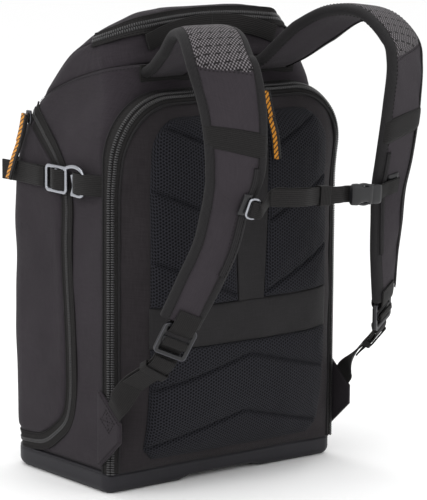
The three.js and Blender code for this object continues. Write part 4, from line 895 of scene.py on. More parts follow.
def arch_route(step=2.0):
    """Round the door up one side, over the top and down the other: points (x, z) and ways outwards."""
    centre = DOOR_TOP - DOOR_CORNER
    up = np.arange(BODY_LOW, centre, step)
    turn = np.linspace(math.pi, math.pi / 2, int(DOOR_CORNER * math.pi / 2 / step))
    left = np.concatenate([
        np.stack([np.full(len(up), -DOOR_HALF), up, -np.ones(len(up)), np.zeros(len(up))], 1),
        np.stack([-DOOR_HALF + DOOR_CORNER * (1 + np.cos(turn)), centre + DOOR_CORNER * np.sin(turn), np.cos(turn),
                  np.sin(turn)], 1)])
    flat = np.arange(left[-1, 0] + step, 0, step)
    left = np.concatenate([left, np.stack([flat, np.full(len(flat), DOOR_TOP), 0 * flat, 0 * flat + 1], 1)])
    return np.concatenate([left, (left * (-1, 1, -1, 1))[::-1]])


ARCH = arch_route()


def round_door(angle, reach):
    """A line on the rounded edge of the door at an angle from the side and a distance from its centre."""
    a = math.radians(angle)
    out = reach * math.cos(a)
    back = (reach + arch_out(ARCH[:, 1]) * (reach / DOOR_INSET)) * math.sin(a)
    path = np.stack([ARCH[:, 0] + ARCH[:, 2] * out, SEAM_Y - GAP - back, ARCH[:, 1] + ARCH[:, 3] * out], 1)
    facing_out = np.stack([ARCH[:, 2] * math.cos(a), np.full(len(ARCH), -math.sin(a)),
                           ARCH[:, 3] * math.cos(a)], 1)
    return path, facing_out


def door_zip():
    """The zip round the door: tape on a quarter turn, two rows of teeth, stitches and a corded ridge."""
    angles = np.linspace(0, 90, 15)
    top = np.stack([round_door(a, DOOR_INSET)[0] for a in angles], 1)
    under = np.stack([round_door(a, DOOR_INSET - 2.4)[0] for a in angles], 1)
    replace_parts(shell("door_zip_ribbon", top, under, "tape"), "door_zip_tape")
    rows = [round_door(45 + k, DOOR_INSET + 1.0) for k in (-9.5, 9.5)]
    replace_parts(beads("door_zip_teeth", rows, TOOTH, TOOTH_STEP, "teeth"), "door_zip_coil")
    beads("door_zip_stitches", [round_door(a, DOOR_INSET + 0.3) for a in (9, 76)], STITCH, 4.2, "thread")
    for name, angle, size in (("door_zip_ridge", 87, 2.6), ("side_seam_piping", 2, 1.8)):
        path, out = round_door(angle, DOOR_INSET + 0.4)
        rod(name, path, np.cross(out, unit(np.gradient(path, axis=0))), size, size, "binding")


door_zip()

# Padding on the door


def channel_edge(z):
    return CHANNEL_LOW + (CHANNEL_HIGH - CHANNEL_LOW) * (z - BAND_HIGH) / (PAD_TOP - BAND_HIGH)


def pad_piece(name, inner, outer, z, grooves, columns, node, seed):
    """A foam pad under mesh: full in the middle, rounded down at its rim, and pressed in along straight
    grooves given by their two ends (x, z)."""
    u = (1 - np.cos(np.linspace(0, math.pi, columns)))[None] / 2
    x = inner + (outer - inner) * (0.35 * np.linspace(0, 1, columns)[None] + 0.65 * u)
    z = z + 0 * x
    rim = np.minimum(np.minimum(np.abs(x - inner), np.abs(outer - x)), np.minimum(z - z.min(), z.max() - z))
    round_rim = np.sqrt(np.clip(1 - (1 - np.clip(rim / 6.5, 0, 1)) ** 2, 0, 1))
    press = np.zeros_like(x)
    nearest = np.full_like(x, 99.0)
    for a, b in grooves:
        a, b = np.array(a), np.array(b)
        along = unit(b - a)
        offset = np.stack([x - a[0], z - a[1]], -1)
        run = np.clip(offset @ along, 0, np.linalg.norm(b - a))
        far = np.linalg.norm(offset - run[..., None] * along, axis=-1)
        nearest = np.minimum(nearest, far)
        press = np.maximum(press, np.exp(-(far / 1.9) ** 2))
    full = 1.9 * smooth(np.minimum(rim, nearest) / 20)
    height = 0.5 + (PAD_THICK - 0.7) * round_rim * (1 - 0.9 * press) + full
    top = on_door(x, z, height)
    top[..., 1] -= ripple(top, seed, 0.16, 18, 60)
    obj = shell(name, top, on_door(x, z, GAP), "mesh")
    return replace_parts(obj, node)


def harness_padding():
    """Two upper pads beside the channel, the channel, the sleeve for a case handle and the lower pad."""
    z = np.linspace(BAND_HIGH + GAP, PAD_TOP, 130)[:, None]
    up = np.clip(z - (PAD_TOP - PAD_ROUND), 0, PAD_ROUND)
    outer = PAD_HALF - PAD_ROUND + np.sqrt(np.maximum(PAD_ROUND ** 2 - up ** 2, 0))
    inner = channel_edge(z) + GAP
    rise_of = PAD_TOP - BAND_HIGH
    for way, side in ((-1, "left"), (1, "right")):
        grooves = []
        for far, near in ((0.99, 0.80), (0.63, 0.42), (0.25, 0.04)):
            near_z = BAND_HIGH + near * rise_of
            grooves.append(((way * PAD_HALF, BAND_HIGH + far * rise_of), (way * (channel_edge(near_z) + 5), near_z)))
        pad_piece("upper_pad_mesh_" + side, way * inner, way * outer, z, grooves, 66, "upper_pad_" + side, 41 + way)
    z = np.linspace(PAD_LOW, BAND_LOW - GAP, 84)[:, None]
    wide = PAD_HALF - np.clip(PAD_LOW + 12 - z, 0, 12)
    rise_of = BAND_LOW - PAD_LOW
    grooves = [((way * PAD_HALF, PAD_LOW + arm * rise_of), (0, PAD_LOW + apex * rise_of))
               for apex, arm in ((0.88, 0.63), (0.36, 0.11)) for way in (-1, 1)]
    pad_piece("lower_pad_mesh", -wide, wide, z, grooves, 130, "lower_pad", 47)
    z = np.linspace(BAND_HIGH + GAP, PAD_TOP, 60)[:, None]
    x = np.linspace(1, -1, 16)[None] * channel_edge(z)
    sag = 1.6 * (1 - (x / channel_edge(z)) ** 2)
    channel = shell("centre_channel_cloth", on_door(x, z + 0 * x, 3.0 - sag), on_door(x, z + 0 * x, GAP), "sleeve")
    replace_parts(channel, "centre_channel")
    u = np.linspace(1, -1, 80)[None]
    z = np.linspace(BAND_LOW, BAND_HIGH, 20)[:, None]
    lift = 1.6 + 2.0 * (1 - u ** 8) * np.sin(math.pi * (z - BAND_LOW) / (BAND_HIGH - BAND_LOW)) ** 0.5
    x = u * (PAD_HALF + 1) + 0 * z
    top = on_door(x, z + 0 * x, lift)
    top[..., 1] -= ripple(top, 51, 0.35, 25, 90)
    sleeve = shell("case_sleeve", top, top + (0, 1.3, 0), "sleeve")
    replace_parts(sleeve, "luggage_band")


harness_padding()


# Shoulder straps

def strap_course(settling, turned=0.0):
    """Stations of a strap on the left: middle points, turn, tilt and half width, lowered and turned by
    what it has settled."""
    change = np.zeros((len(STATIONS), 3))
    change[:len(settling)] = settling
    knots = np.stack([-STATIONS[:, 0] * HALF_WIDTH, -HALF_DEPTH - STATIONS[:, 1] * HALF_WIDTH,
                      (STATIONS[:, 2] - change[:, 0]) * BAG_HEIGHT], 1)
    return knots, STATIONS[:, 3] + turned, STATIONS[:, 4] + change[:, 1], STATIONS[:, 5] + change[:, 2]


RESTING, LOWERED = strap_course(np.zeros((1, 3))), strap_course(SETTLED)
FAR = strap_course(np.zeros((1, 3)), FAR_TURN)


def strap_frame(t, course=RESTING):
    """The left strap at t: its middle, its direction, the way to its inner edge, its way out and half
    its width."""
    t = np.atleast_1d(np.asarray(t, float))
    knots = course[0]
    place = np.clip(t, 0, 1) * (len(knots) - 1)
    turn, tilt, half = (np.interp(place, np.arange(len(knots)), row) for row in course[1:])
    turn, tilt = np.radians(turn), np.radians(tilt)
    along = unit(spline(knots, t + 1e-3) - spline(knots, t - 1e-3))
    inward = np.stack([np.cos(turn) * np.cos(tilt), -np.sin(turn) * np.cos(tilt), -np.sin(tilt)], 1)
    inward = unit(inward - np.sum(inward * along, 1, keepdims=True) * along)
    return spline(knots, t), along, inward, -np.cross(inward, along), half * STRAP_HALF


def strap_top(side):
    return STRAP_THICK / 2 * (1 - 0.5 * np.abs(side) ** 3)


def on_strap(t, side, height, course=RESTING):
    """Points on the strap at t, at shares of its half width and heights above its middle."""
    t, side, height = np.broadcast_arrays(t, side, height)
    centre, _, inward, out, half = strap_frame(t.ravel(), course)
    points = centre + inward * (side.ravel() * half)[:, None] + out * height.ravel()[:, None]
    return points.reshape(t.shape + (3,))


def strap_outline(angle, half, grow=0.0):
    """Across and out at angles round the strap's section: a flattened oval with full edges."""
    c, s = np.cos(angle), np.sin(angle)
    across = (half + grow) * np.sign(c) * np.abs(c) ** (2 / 4.5)
    out = (STRAP_THICK / 2 + grow) * np.sign(s) * np.abs(s) ** (2 / 2.4)
    return np.stack([across + 0 * out, out + 0 * across], -1)


def oval_top(side):
    """Height of the core's face above its middle at shares of its half width."""
    return STRAP_THICK / 2 * np.clip(1 - np.abs(side) ** 4.5, 0, 1) ** (1 / 2.4)


def strap_pieces(hand, course):
    """A shoulder strap: padded core, spacer mesh over the top, bindings folded round both edges with
    their stitches, the webbing across it and the corded rail below that."""
    made = []
    t = np.linspace(0.02, 1, 190)
    centre, along, inward, out, half = strap_frame(t, course)
    angle = np.linspace(0, 2 * math.pi, 44, endpoint=False)
    close = np.clip(np.minimum((t - 0.02) / 0.006, (1 - t) / 0.012), 0, 1)[:, None] ** 0.5
    section_at = strap_outline(angle[None], half[:, None])
    section_at[..., 1] *= 0.5 + 0.5 * close
    core = (centre[:, None] + inward[:, None] * section_at[..., :1] + out[:, None] * section_at[..., 1:])
    core = core + out[:, None] * ripple(core, 61, 0.3, 20, 70)[..., None]
    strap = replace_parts(tube("strap_core_" + hand, core, "strap"), "shoulder_strap_" + hand)
    made.append(strap)

    u = np.linspace(-1, 1, 30)[None]
    v = np.linspace(0, 1, 90)[:, None]
    t_grid = MESH_FROM + (MESH_OUTER + (MESH_INNER - MESH_OUTER) * (u + 1) / 2 - MESH_FROM) * v
    half_at = strap_frame(t_grid.ravel(), course)[4].reshape(t_grid.shape)
    side = u * (1 - 7.0 / half_at)
    ends = smooth(np.minimum(v, 1 - v) * 90 / 4)
    puff = oval_top(side) + 0.3 + ends * (0.7 + 0.9 * (1 - u ** 4))
    made.append(shell("strap_mesh_" + hand, on_strap(t_grid, side, puff, course),
                      on_strap(t_grid, side, oval_top(side) - 0.6, course), "spacer"))

    for edge, name in ((1, "inner"), (-1, "outer")):
        fold = np.arccos(np.clip((half - 7.8) / half, 0, 1) ** (4.5 / 2))
        q = np.linspace(-1, 1, 21)[None] * fold[:, None]
        outer = strap_outline(q, half[:, None], 1.1)
        inner = strap_outline(q, half[:, None], 0.1)
        grids = [centre[:, None] + inward[:, None] * g[..., :1] * edge + out[:, None] * g[..., 1:]
                 for g in (outer, inner)]
        made.append(shell(f"strap_binding_{hand}_{name}", *grids, "binding"))
    seams = []
    for edge in (1, -1):
        across = edge * (half - 6.9)
        up = oval_top(across / half) + 1.25
        for face in (1, -1):
            seams.append((centre + inward * across[:, None] + out * (up * face)[:, None], out * face))
    end_t = MESH_OUTER + (MESH_INNER - MESH_OUTER) * (u[0] + 1) / 2 + 0.006
    end_line = on_strap(end_t, u[0] * 0.8, oval_top(u[0] * 0.8) + 0.5, course)
    seams.append((end_line, strap_frame(end_t, course)[3]))
    made.append(beads("strap_stitches_" + hand, seams, STITCH, 4.2, "thread"))

    u = np.linspace(-0.99, 0.99, 30)[:, None]
    w = np.linspace(0, 1, 10)[None]
    t_band = CROSS_AT + CROSS_SPAN * w + CROSS_SLANT * (u + 1) / 2
    crown = 1.7 * (1 - np.abs(2 * w - 1) ** 6)
    band = shell("strap_cross_band_" + hand, on_strap(t_band, u, oval_top(u) + 0.5 + crown, course),
                 on_strap(t_band, u, oval_top(u) - 0.5, course), "webbing")
    made.append(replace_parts(band, "strap_band_" + hand))

    t_rail = np.linspace(RAIL_START, RAIL_END, 90)
    rail_side = 1 - RAIL_INSET / STRAP_HALF
    c, a, i, o, h = strap_frame(t_rail, course)
    path = c + i * (h * rail_side)[:, None] + o * (strap_top(rail_side) + 1.9)
    rail = rod("strap_rail_cord_" + hand, path, i, 5.4, 3.4, "rail", power=3.0)
    made.append(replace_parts(rail, "strap_rail_" + hand))
    rows = [(path + i * k - o * 1.3, o) for k in (-4.3, 4.3)]
    made.append(beads("rail_stitches_" + hand, rows, STITCH, 4.2, "thread"))
    if hand == "right":
        for obj in made:
            reflect(obj)


strap_pieces("left", LOWERED)
strap_pieces("right", FAR)

# Lower ends: ladder buckles, webbing, keepers and wings

BUCKLE_LENGTH, BUCKLE_WIDTH, BUCKLE_THICK, BUCKLE_BAR, BUCKLE_MID = 34.0, 36.0, 5.0, 4.5, 6.0
LOWER_WEB = 25.0


def frame_path(centre, right, up, width, height, radius, steps=8):
    """A closed rounded rectangle about a point, as a path."""
    a = np.linspace(0, math.pi / 2, steps)
    pts = [np.stack([sx * (width / 2 - radius) + radius * np.cos(a + q * math.pi / 2),
                     sy * (height / 2 - radius) + radius * np.sin(a + q * math.pi / 2)], 1)
           for sx, sy, q in ((1, 1, 0), (-1, 1, 1), (-1, -1, 2), (1, -1, 3))]
    flat = np.concatenate(pts)
    return centre + flat[:, :1] * right + flat[:, 1:] * up


def straight(a, b, n=6):
    return np.linspace(0, 1, n)[:, None] * (np.asarray(b) - np.asarray(a)) + np.asarray(a)


def ribbon(name, points, across_at, width, finish="webbing", thick=WEB, lift=0.0, v0=0.0, v1=1.0, steps=120):
    """A band of webbing along a smooth line through points, from v0 to v1 of it, with soft edges."""
    v = np.linspace(v0, v1, steps)
    path = spline(points, v)
    run = lengths(path)
    even = np.interp(np.linspace(0, run[-1], steps), run, v)
    path = spline(points, even)
    return strip(name, path, across_at(even), width, finish, thick, lift)


def buckle_frame():
    centre, along, inward, _, _ = (a[0] for a in strap_frame(1.0))
    up, right = -along, inward
    out = np.cross(right, up)
    middle = centre - up * (BUCKLE_LENGTH / 2 + 3) + right * 5
    return middle, right, up, out


def wing_seat():
    top = np.array([0, SEAM_Y, 108.0])
    apex = np.array([0, SEAM_Y - 34, 80.0])
    seat = top + (apex - top) * 0.65
    seat[0] = -HALF_WIDTH - 0.75 - 1.3
    across = unit(apex - top)
    return seat, across, np.array([0, across[2], -across[1]])


def lower_ends():
    """Ladder buckle with its sewn loop, the adjustable webbing to the wing, its folded tail and keeper."""
    middle, right, up, out = buckle_frame()

    def at(s, n):
        return middle + up * s + out * n

    inner = BUCKLE_LENGTH / 2 - BUCKLE_BAR
    rim = frame_path(middle, right, up, BUCKLE_WIDTH - BUCKLE_BAR, BUCKLE_LENGTH - BUCKLE_BAR, 3.5)
    buckle = rod("ladder_buckle_frame_left", rim, out, BUCKLE_THICK, BUCKLE_BAR + 0.4, "plastic", True, 2.8)
    both(buckle, "ladder_buckle")
    reach = BUCKLE_WIDTH / 2 - BUCKLE_BAR / 2
    bar = rod("ladder_buckle_bar_left", straight(middle - right * reach, middle + right * reach), up, BUCKLE_MID,
              BUCKLE_THICK * 0.9, "plastic", power=2.8)
    twin(bar, "ladder_buckle_bar_right")
    edge_rim = frame_path(middle + out * 2.0, right, up, BUCKLE_WIDTH - 1.6, BUCKLE_LENGTH - 1.6, 4.0)
    twin(rod("ladder_buckle_rim_left", edge_rim, out, 1.2, 1.2, "dark", True), "ladder_buckle_rim_right")

    slot_mid = (inner + BUCKLE_MID / 2) / 2
    clear = BUCKLE_THICK / 2 + 2 * GAP + WEB
    face = STRAP_THICK / 2 + GAP + WEB / 2
    top = BUCKLE_LENGTH / 2
    anchor = [at(top + 17, face + 0.6), at(top + 3, face), at(inner - GAP, clear), at(slot_mid, 0),
              at(inner - GAP, -clear), at(top + 1.8, -clear - 0.4)]
    both(ribbon("strap_anchor_web_left", anchor, lambda v: right, LOWER_WEB), "strap_anchor")

    seat, across, away = wing_seat()
    across_seat = across * (np.sign(across @ right) or 1)
    route = [at(BUCKLE_MID / 2, clear), at(-BUCKLE_MID / 2 - 0.5, clear), at(1 - slot_mid, -0.5),
             at(-inner + 0.6, -clear), at(-top - 8, -clear + 1), seat + away * 45 + (2.6, 0, 0), seat + away * 16,
             seat + away * GAP]

    def turn_over(v):
        t = smooth((np.asarray(v) - 0.72) / 0.24)[..., None]
        return unit(right * (1 - t) + across_seat * t)

    both(ribbon("lower_web_left", route, turn_over, LOWER_WEB, steps=170), "lower_webbing")
    lift = WEB + 5 * GAP
    both(ribbon("web_tail_left", route, turn_over, LOWER_WEB - 2, lift=lift, v0=15 / 28, v1=20 / 28, steps=60),
         "webbing_tail")
    place = spline(route, [0.62])[0]
    along = unit(spline(route, [0.621])[0] - spline(route, [0.619])[0])
    side = turn_over(0.62)
    side = unit(side - (side @ along) * along)
    n = -np.cross(side, along)
    room = lift + WEB + 6 * GAP
    loop = frame_path(place + n * lift / 2, side, n, LOWER_WEB + 3.4, room + 1.4, 1.8)
    both(strip("web_keeper_left", loop, along, 10.0, "webbing", 1.3, closed=True), "webbing_keeper")

    y0, y1 = SEAM_Y + 4, SEAM_Y - 34
    u = np.linspace(0, 1, 26)[None]
    v = np.linspace(0, 1, 30)[:, None]
    share = np.clip((SEAM_Y - (y0 + (y1 - y0) * u)) / 34, 0, 1)
    y = y0 + (y1 - y0) * u + 0 * v
    low, high = 30 + (60 - 30) * share, 108 + (80 - 108) * share
    z = low + (high - low) * v
    rim = np.minimum(np.minimum(z - low, high - z), y - y1)
    x = -(HALF_WIDTH + 0.9 + 1.7 + 0.9 * smooth(rim / 4)) + 0 * z
    face_grid = np.stack([x, y, z], -1)
    wing = shell("wing_cloth_left", face_grid, face_grid + (2.1, 0, 0), "shell")
    both(wing, "wing")[1]
    near = -(HALF_WIDTH + 3.7)
    out_x = np.array([[-1.0, 0, 0]])
    mid = np.array([near, seat[1], seat[2]]) - away * 14
    box = [mid + across_seat * a + away * b for a, b in ((-9, -7), (9, -7), (9, 7), (-9, 7))]
    rows = [straight(box[a], box[b], 12) for a, b in ((0, 1), (1, 2), (2, 3), (3, 0), (0, 2), (1, 3))]
    rim_rows = [straight((near, SEAM_Y + 2, 32), (near, y1 + 2.5, 61), 14),
                straight((near, SEAM_Y + 2, 106), (near, y1 + 2.5, 79), 14)]
    sewn = beads("wing_stitches_left", [(r, np.repeat(out_x, len(r), 0)) for r in rows + rim_rows], STITCH, 3.6,
                 "thread")
    twin(sewn, "wing_stitches_right")


lower_ends()

# Sternum strap

STERNUM_Z, STERNUM_WEB, STERNUM_DROP = 320.0, 17.0, 0.068
BUCKLE_AT, BUCKLE_BODY, BUCKLE_HIGH, BUCKLE_DEEP = 34.0, 26.0, 22.0, 9.0


def side_release(name, start, right, up, length, high, deep, profile):
    """A moulded half of the buckle: rounded sections along its length, with each one's share of the
    height and depth read from a profile of rows (share of length, height, depth)."""
    profile = np.array(profile)
    t = np.linspace(0, 1, 40)
    h = through(t, profile[:, 0], profile[:, 1]) * high
    d = through(t, profile[:, 0], profile[:, 2]) * deep
    a = np.linspace(0, 2 * math.pi, 28, endpoint=False)
    c, s = np.cos(a), np.sin(a)
    out = np.cross(right, up)
    rings = ((start + right * (t * length)[:, None])[:, None]
             + up * (h[:, None] / 2 * np.sign(s) * np.abs(s) ** 0.5)[..., None]
             + out * (d[:, None] / 2 * np.sign(c) * np.abs(c) ** 0.6)[..., None])
    return tube(name, rings, "plastic")


def sternum():
    """The sternum strap: sliders on both rails, ring, webbing, folded loop, keeper and side-release
    buckle."""
    low, high = 0.5, 1.0
    for _ in range(30):
        t = (low + high) / 2
        low, high = (t, high) if strap_frame(t)[0][0, 2] > STERNUM_Z else (low, t)
    centre, along, inward, out, half = (a[0] for a in strap_frame(t))
    span = 13 / 468
    rail_side = 1 - RAIL_INSET / STRAP_HALF
    rail_top = GAP + 3.0
    rows = np.linspace(t - span, t + span, 16)

    def clip(name, u0, u1, lift, course=RESTING):
        u = np.linspace(u0, u1, 12)
        bend = (1 - np.abs(np.linspace(-1, 1, 16)[:, None]) ** 8) * (1 - np.abs(np.linspace(-1, 1, 12)) ** 8)
        top = on_strap(rows[:, None], u, strap_top(u) + lift + 0.8 + 1.9 * bend, course)
        return shell(name, top, on_strap(rows[:, None], u, strap_top(u) + lift, course), "plastic")

    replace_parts(clip("rail_clip_left", rail_side - 0.26, rail_side + 0.08, rail_top), "sternum_slider_left")
    slot = STERNUM_WEB / 2 + GAP
    strap_up = [np.array([w * along[0], -along[1], -along[2]]) for w in (1, -1)]
    ring_n = STRAP_THICK / 2 + rail_top + 2.5 + 2 * GAP + 1.3

    def ring_at(s, n):
        return centre + inward * (half * rail_side + 13 * 0.45 + s) + out * (ring_n + n)

    rim = frame_path(ring_at(0, 0), inward, strap_up[1], 13 - 2.6, 2 * slot + 2.6, 4.2, 10)
    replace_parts(rod("sternum_ring_wire", rim, out, 2.6, 2.6, "bright", True), "sternum_ring_left")
    clear_ring = 1.3 + 4 * GAP + WEB / 2
    edge = 6.5
    start = ring_at(edge, 0)
    z0 = STERNUM_Z + 2.5

    def at(x, n):
        return np.array([x, start[1] - n, z0 - STERNUM_DROP * (x - start[0])])

    right = unit(np.array([1, 0, -STERNUM_DROP]))
    up = unit(np.array([STERNUM_DROP, 0, 1.0]))
    bar = start[0]
    clear_socket = BUCKLE_DEEP / 2 + GAP + WEB / 2
    slot_x = BUCKLE_AT + 6
    left = [ring_at(edge + 6, -clear_ring), ring_at(edge - 2.6, -clear_ring), ring_at(-1.2, 0),
            ring_at(edge - 2.6, clear_ring), ring_at(edge, clear_ring), at(bar + 14, clear_ring * 0.6),
            at(bar + 40, 0), at(bar + 72, 0), at(BUCKLE_AT - 14, -1.5), at(BUCKLE_AT - 3, -clear_socket - GAP),
            at(slot_x - 2.6, -clear_socket - GAP), at(slot_x, -1.5), at(slot_x + 0.4, BUCKLE_DEEP / 3)]

    def rising(v):
        t_up = np.clip((np.asarray(v) - 0.35) / 0.25, 0, 1)[..., None]
        return unit(strap_up[1] * (1 - t_up) + up * t_up)

    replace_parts(ribbon("sternum_web_left", left, rising, STERNUM_WEB, steps=200), "sternum_webbing_left")
    fold = clear_ring + WEB + 5 * GAP
    loop = [at(bar + 8, fold + 0.6), at(bar + 22, fold + 7), at(bar + 46, fold + 7), at(bar + 64, fold - 0.6),
            at(bar + 74, WEB + 2 * GAP)]
    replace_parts(ribbon("sternum_folded_loop", loop, lambda v: up, STERNUM_WEB), "sternum_loop")
    room = 2 * WEB + 12 * GAP
    toward = np.array([0, -1.0, 0])
    keeper = frame_path(at(bar + 80, WEB / 2 + GAP / 2), up, toward, STERNUM_WEB + 2.0, room + 1.2, 1.6)
    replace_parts(strip("sternum_web_keeper", keeper, right, 13.0, "webbing", 1.2, closed=True), "sternum_keeper")

    socket = side_release("sternum_buckle_socket", at(BUCKLE_AT, 0), right, up, BUCKLE_BODY, BUCKLE_HIGH, BUCKLE_DEEP,
                          [(0, 0.86, 0.55), (0.08, 0.98, 0.75), (0.3, 1.0, 0.95), (0.5, 0.74, 1.0), (0.78, 0.74, 1.0),
                           (0.92, 0.95, 0.92), (1, 0.92, 0.8)])
    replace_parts(socket, "sternum_socket")
    plug_at = BUCKLE_AT + BUCKLE_BODY + GAP
    plug = side_release("sternum_buckle_plug", at(plug_at, 0), right, up, 13.0, 20.0, 6.0,
                        [(0, 0.9, 0.9), (0.3, 1.0, 1.0), (0.75, 0.98, 0.9), (1, 0.88, 0.6)])
    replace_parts(plug, "sternum_plug")
    for way, side_name in ((1, "upper"), (-1, "lower")):
        x = np.linspace(BUCKLE_AT + 10.5, BUCKLE_AT + 22, 14)
        arm = np.array([at(k, 0) for k in x]) + up * (way * (9.0 + 1.0 * np.sin((x - x[0]) / 11.5 * math.pi)))[:, None]
        rod("sternum_buckle_arm_" + side_name, arm, up, 3.0, 5.0, "plastic", power=3)

    def right_of(side, height):
        return on_strap(t, side, height, FAR) * (-1, 1, 1)

    plug_slot = plug_at + 13 - 6
    clear_plug = 3 + GAP + WEB / 2
    on_clip = STRAP_THICK / 2 + 2.5 + 2 * GAP + WEB / 2
    over_rail = STRAP_THICK / 2 + rail_top + GAP + WEB
    route = [at(plug_slot - 0.4, 2), at(plug_slot, -1), at(plug_slot + 2.4, -clear_plug - GAP),
             at(plug_at + 16, -clear_plug), right_of(1.25, over_rail + 2.5), right_of(rail_side, over_rail),
             right_of(0.3, on_clip + 1.4), right_of(-0.05, on_clip + 0.7)]

    def leaning(v):
        t_up = np.clip((np.asarray(v) - 0.4) / 0.3, 0, 1)[..., None]
        return unit(up * (1 - t_up) + strap_up[0] * t_up)

    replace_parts(ribbon("sternum_web_right", route, leaning, STERNUM_WEB), "sternum_webbing_right")
    plate = twin(clip("rail_clip_drawn", -0.1, rail_side - 5 / half, 2 * GAP, FAR), "rail_clip_right")
    bpy.data.objects.remove(bpy.data.objects["rail_clip_drawn"])
    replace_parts(plate, "sternum_slider_right")


sternum()

# Compression strap and its ladder hook

COMP_Z, COMP_WEB = 318.0, 21.0
HOOK_WIDTH, HOOK_THICK, HOOK_BAR, HOOK_AT, HOOK_REACH, TAIL_END = 38.0, 3.5, 3.4, -12.0, 28.0, 81.0


def compression():
    """Webbing round the front, the metal ladder hook on the left side, and the webbing threaded
    through it, with its long free tail."""
    under = 2.6 + GAP + 2.2
    upright = np.array([0, 0, 1.0])
    s = np.linspace(2.0, 5.0, 400)
    ring = left_half(s, np.full(400, COMP_Z), under + WEB / 2)
    near = ring[ring[:, 1] > HOOK_AT + HOOK_WIDTH - 2]
    far = ring[ring[:, 1] > -78][:-1][::-1] * (-1, 1, 1)
    path, = evenly(np.concatenate([near, far]), 3.0)
    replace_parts(strip("compression_round_front", path, upright, COMP_WEB, "webbing"), "compression_front")

    def at(y, n):
        return np.array([-HALF_WIDTH - n, y, COMP_Z])

    base = 2.6 + GAP
    plate_in = base + WEB + 4 * GAP
    plate_mid = plate_in + HOOK_THICK / 2
    below = base + WEB / 2 + GAP
    over = plate_in + HOOK_THICK + 3 * GAP + WEB / 2
    slot = COMP_WEB / 2 + GAP
    w = HOOK_WIDTH / 2
    right = np.array([0, -1.0, 0])
    place = at(HOOK_AT, plate_mid)
    outward = np.array([-1.0, 0, 0])
    thick = HOOK_BAR + 0.5

    def bar(name, points, steps=40):
        flat = np.array([place + right * a + upright * b for a, b in points])
        return rod(name, spline(flat, np.linspace(0, 1, steps)), outward, HOOK_THICK, thick, "bright", power=2.6)

    rim = frame_path(place, right, upright, HOOK_WIDTH - HOOK_BAR, 2 * slot + HOOK_BAR, 4.0, 10)
    frame_piece = rod("hook_ladder_frame", rim, outward, HOOK_THICK, thick, "bright", True, 2.6)
    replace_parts(frame_piece, "compression_hook")
    bar("hook_middle_bar", [(0, -slot), (0, slot)], 8)
    high = slot + HOOK_BAR / 2
    reach = [(w - 5, high - 1), (w + 3, high + 2.2), (w + 14, high + 3.4), (w + 24, high + 0.5), (w + 30, high - 7),
             (w + 31, high - 16), (w + 29, -high + 4), (w + 25, -high), (w + 8, -high)]
    bar("hook_upper_arm", reach, 70)
    bar("hook_tongue", [(w + 9, -high), (w + 12, -high * 0.3), (w + 9, high * 0.6)], 12)

    side = [at(HOOK_AT + HOOK_WIDTH - GAP, below), at(HOOK_AT + w + 3, below), at(HOOK_AT + w - HOOK_BAR - 1.2, below),
            at(HOOK_AT + w / 2, plate_mid), at(HOOK_AT + HOOK_BAR / 2, over), at(HOOK_AT - HOOK_BAR / 2, over),
            at(HOOK_AT - w / 2, plate_mid), at(HOOK_AT - w + HOOK_BAR + 1.2, below)]
    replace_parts(ribbon("compression_threaded", side, lambda v: upright, COMP_WEB), "compression_side")
    above = over + WEB + GAP
    tail = [at(HOOK_AT + w + HOOK_BAR / 2 + 0.8, plate_mid + 0.6), at(HOOK_AT + w + 8, over - 1.2),
            at(HOOK_AT + w + 22, over - 1.8), at(TAIL_END - 34, over - 3), at(TAIL_END, over)]
    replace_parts(ribbon("compression_free_tail", tail, lambda v: upright, COMP_WEB), "compression_tail")
    tongue = HOOK_AT - w - HOOK_REACH * 0.62
    end = HOOK_AT - w - HOOK_REACH - HOOK_BAR / 2
    turn = tongue + HOOK_BAR / 2 + WEB + 8 * GAP
    rear = [at(SEAM_Y + 3, GAP + WEB / 2), at(tongue - 18, below), at(tongue, below), at(turn, plate_mid),
            at(tongue, over), at(end, over), at(end - 7, over - 1.5), at(SEAM_Y + 7, below + WEB),
            at(SEAM_Y - 0.5, -WEB / 2)]
    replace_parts(ribbon("compression_from_rear", rear, lambda v: upright, COMP_WEB, steps=160), "compression_rear")


compression()

# Zip sliders and their woven pulls


def slider(name, middle, along, side, out, node):
    """A cast slider: a rounded body across the teeth with a raised bridge that holds the pull."""
    t = np.linspace(0, 1, 22)
    wide = 9.2 - 2.0 * np.abs(2 * t - 1) ** 3
    a = np.linspace(0, 2 * math.pi, 24, endpoint=False)
    c, s = np.cos(a), np.sin(a)
    rings = (middle + along * ((t - 0.5) * 13)[:, None])[:, None] + side * (
        wide[:, None] / 2 * np.sign(c) * np.abs(c) ** 0.6)[..., None] + out * (
        1.6 * np.sign(s) * np.abs(s) ** 0.6 + 0 * t[:, None])[..., None]
    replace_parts(tube(name, rings, "dark"), node)
    arch = np.linspace(0, math.pi, 14)
    path = middle + along * (np.cos(arch) * 4.2)[:, None] + out * (1.2 + 2.2 * np.sin(arch))[:, None]
    rod(name + "_bridge", path, side, 2.2, 1.2, "dark")


def pull(name, points, across, node):
    """A woven pull: a long layer with a shorter one folded over its top."""
    v = np.linspace(0, 1, 70)
    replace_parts(strip(name, spline(points, v), across, 10.0, "pull", 2.4), node)
    strip(name + "_fold", spline(points, v * 0.42), across, 9.4, "pull", 1.6, 1.7)


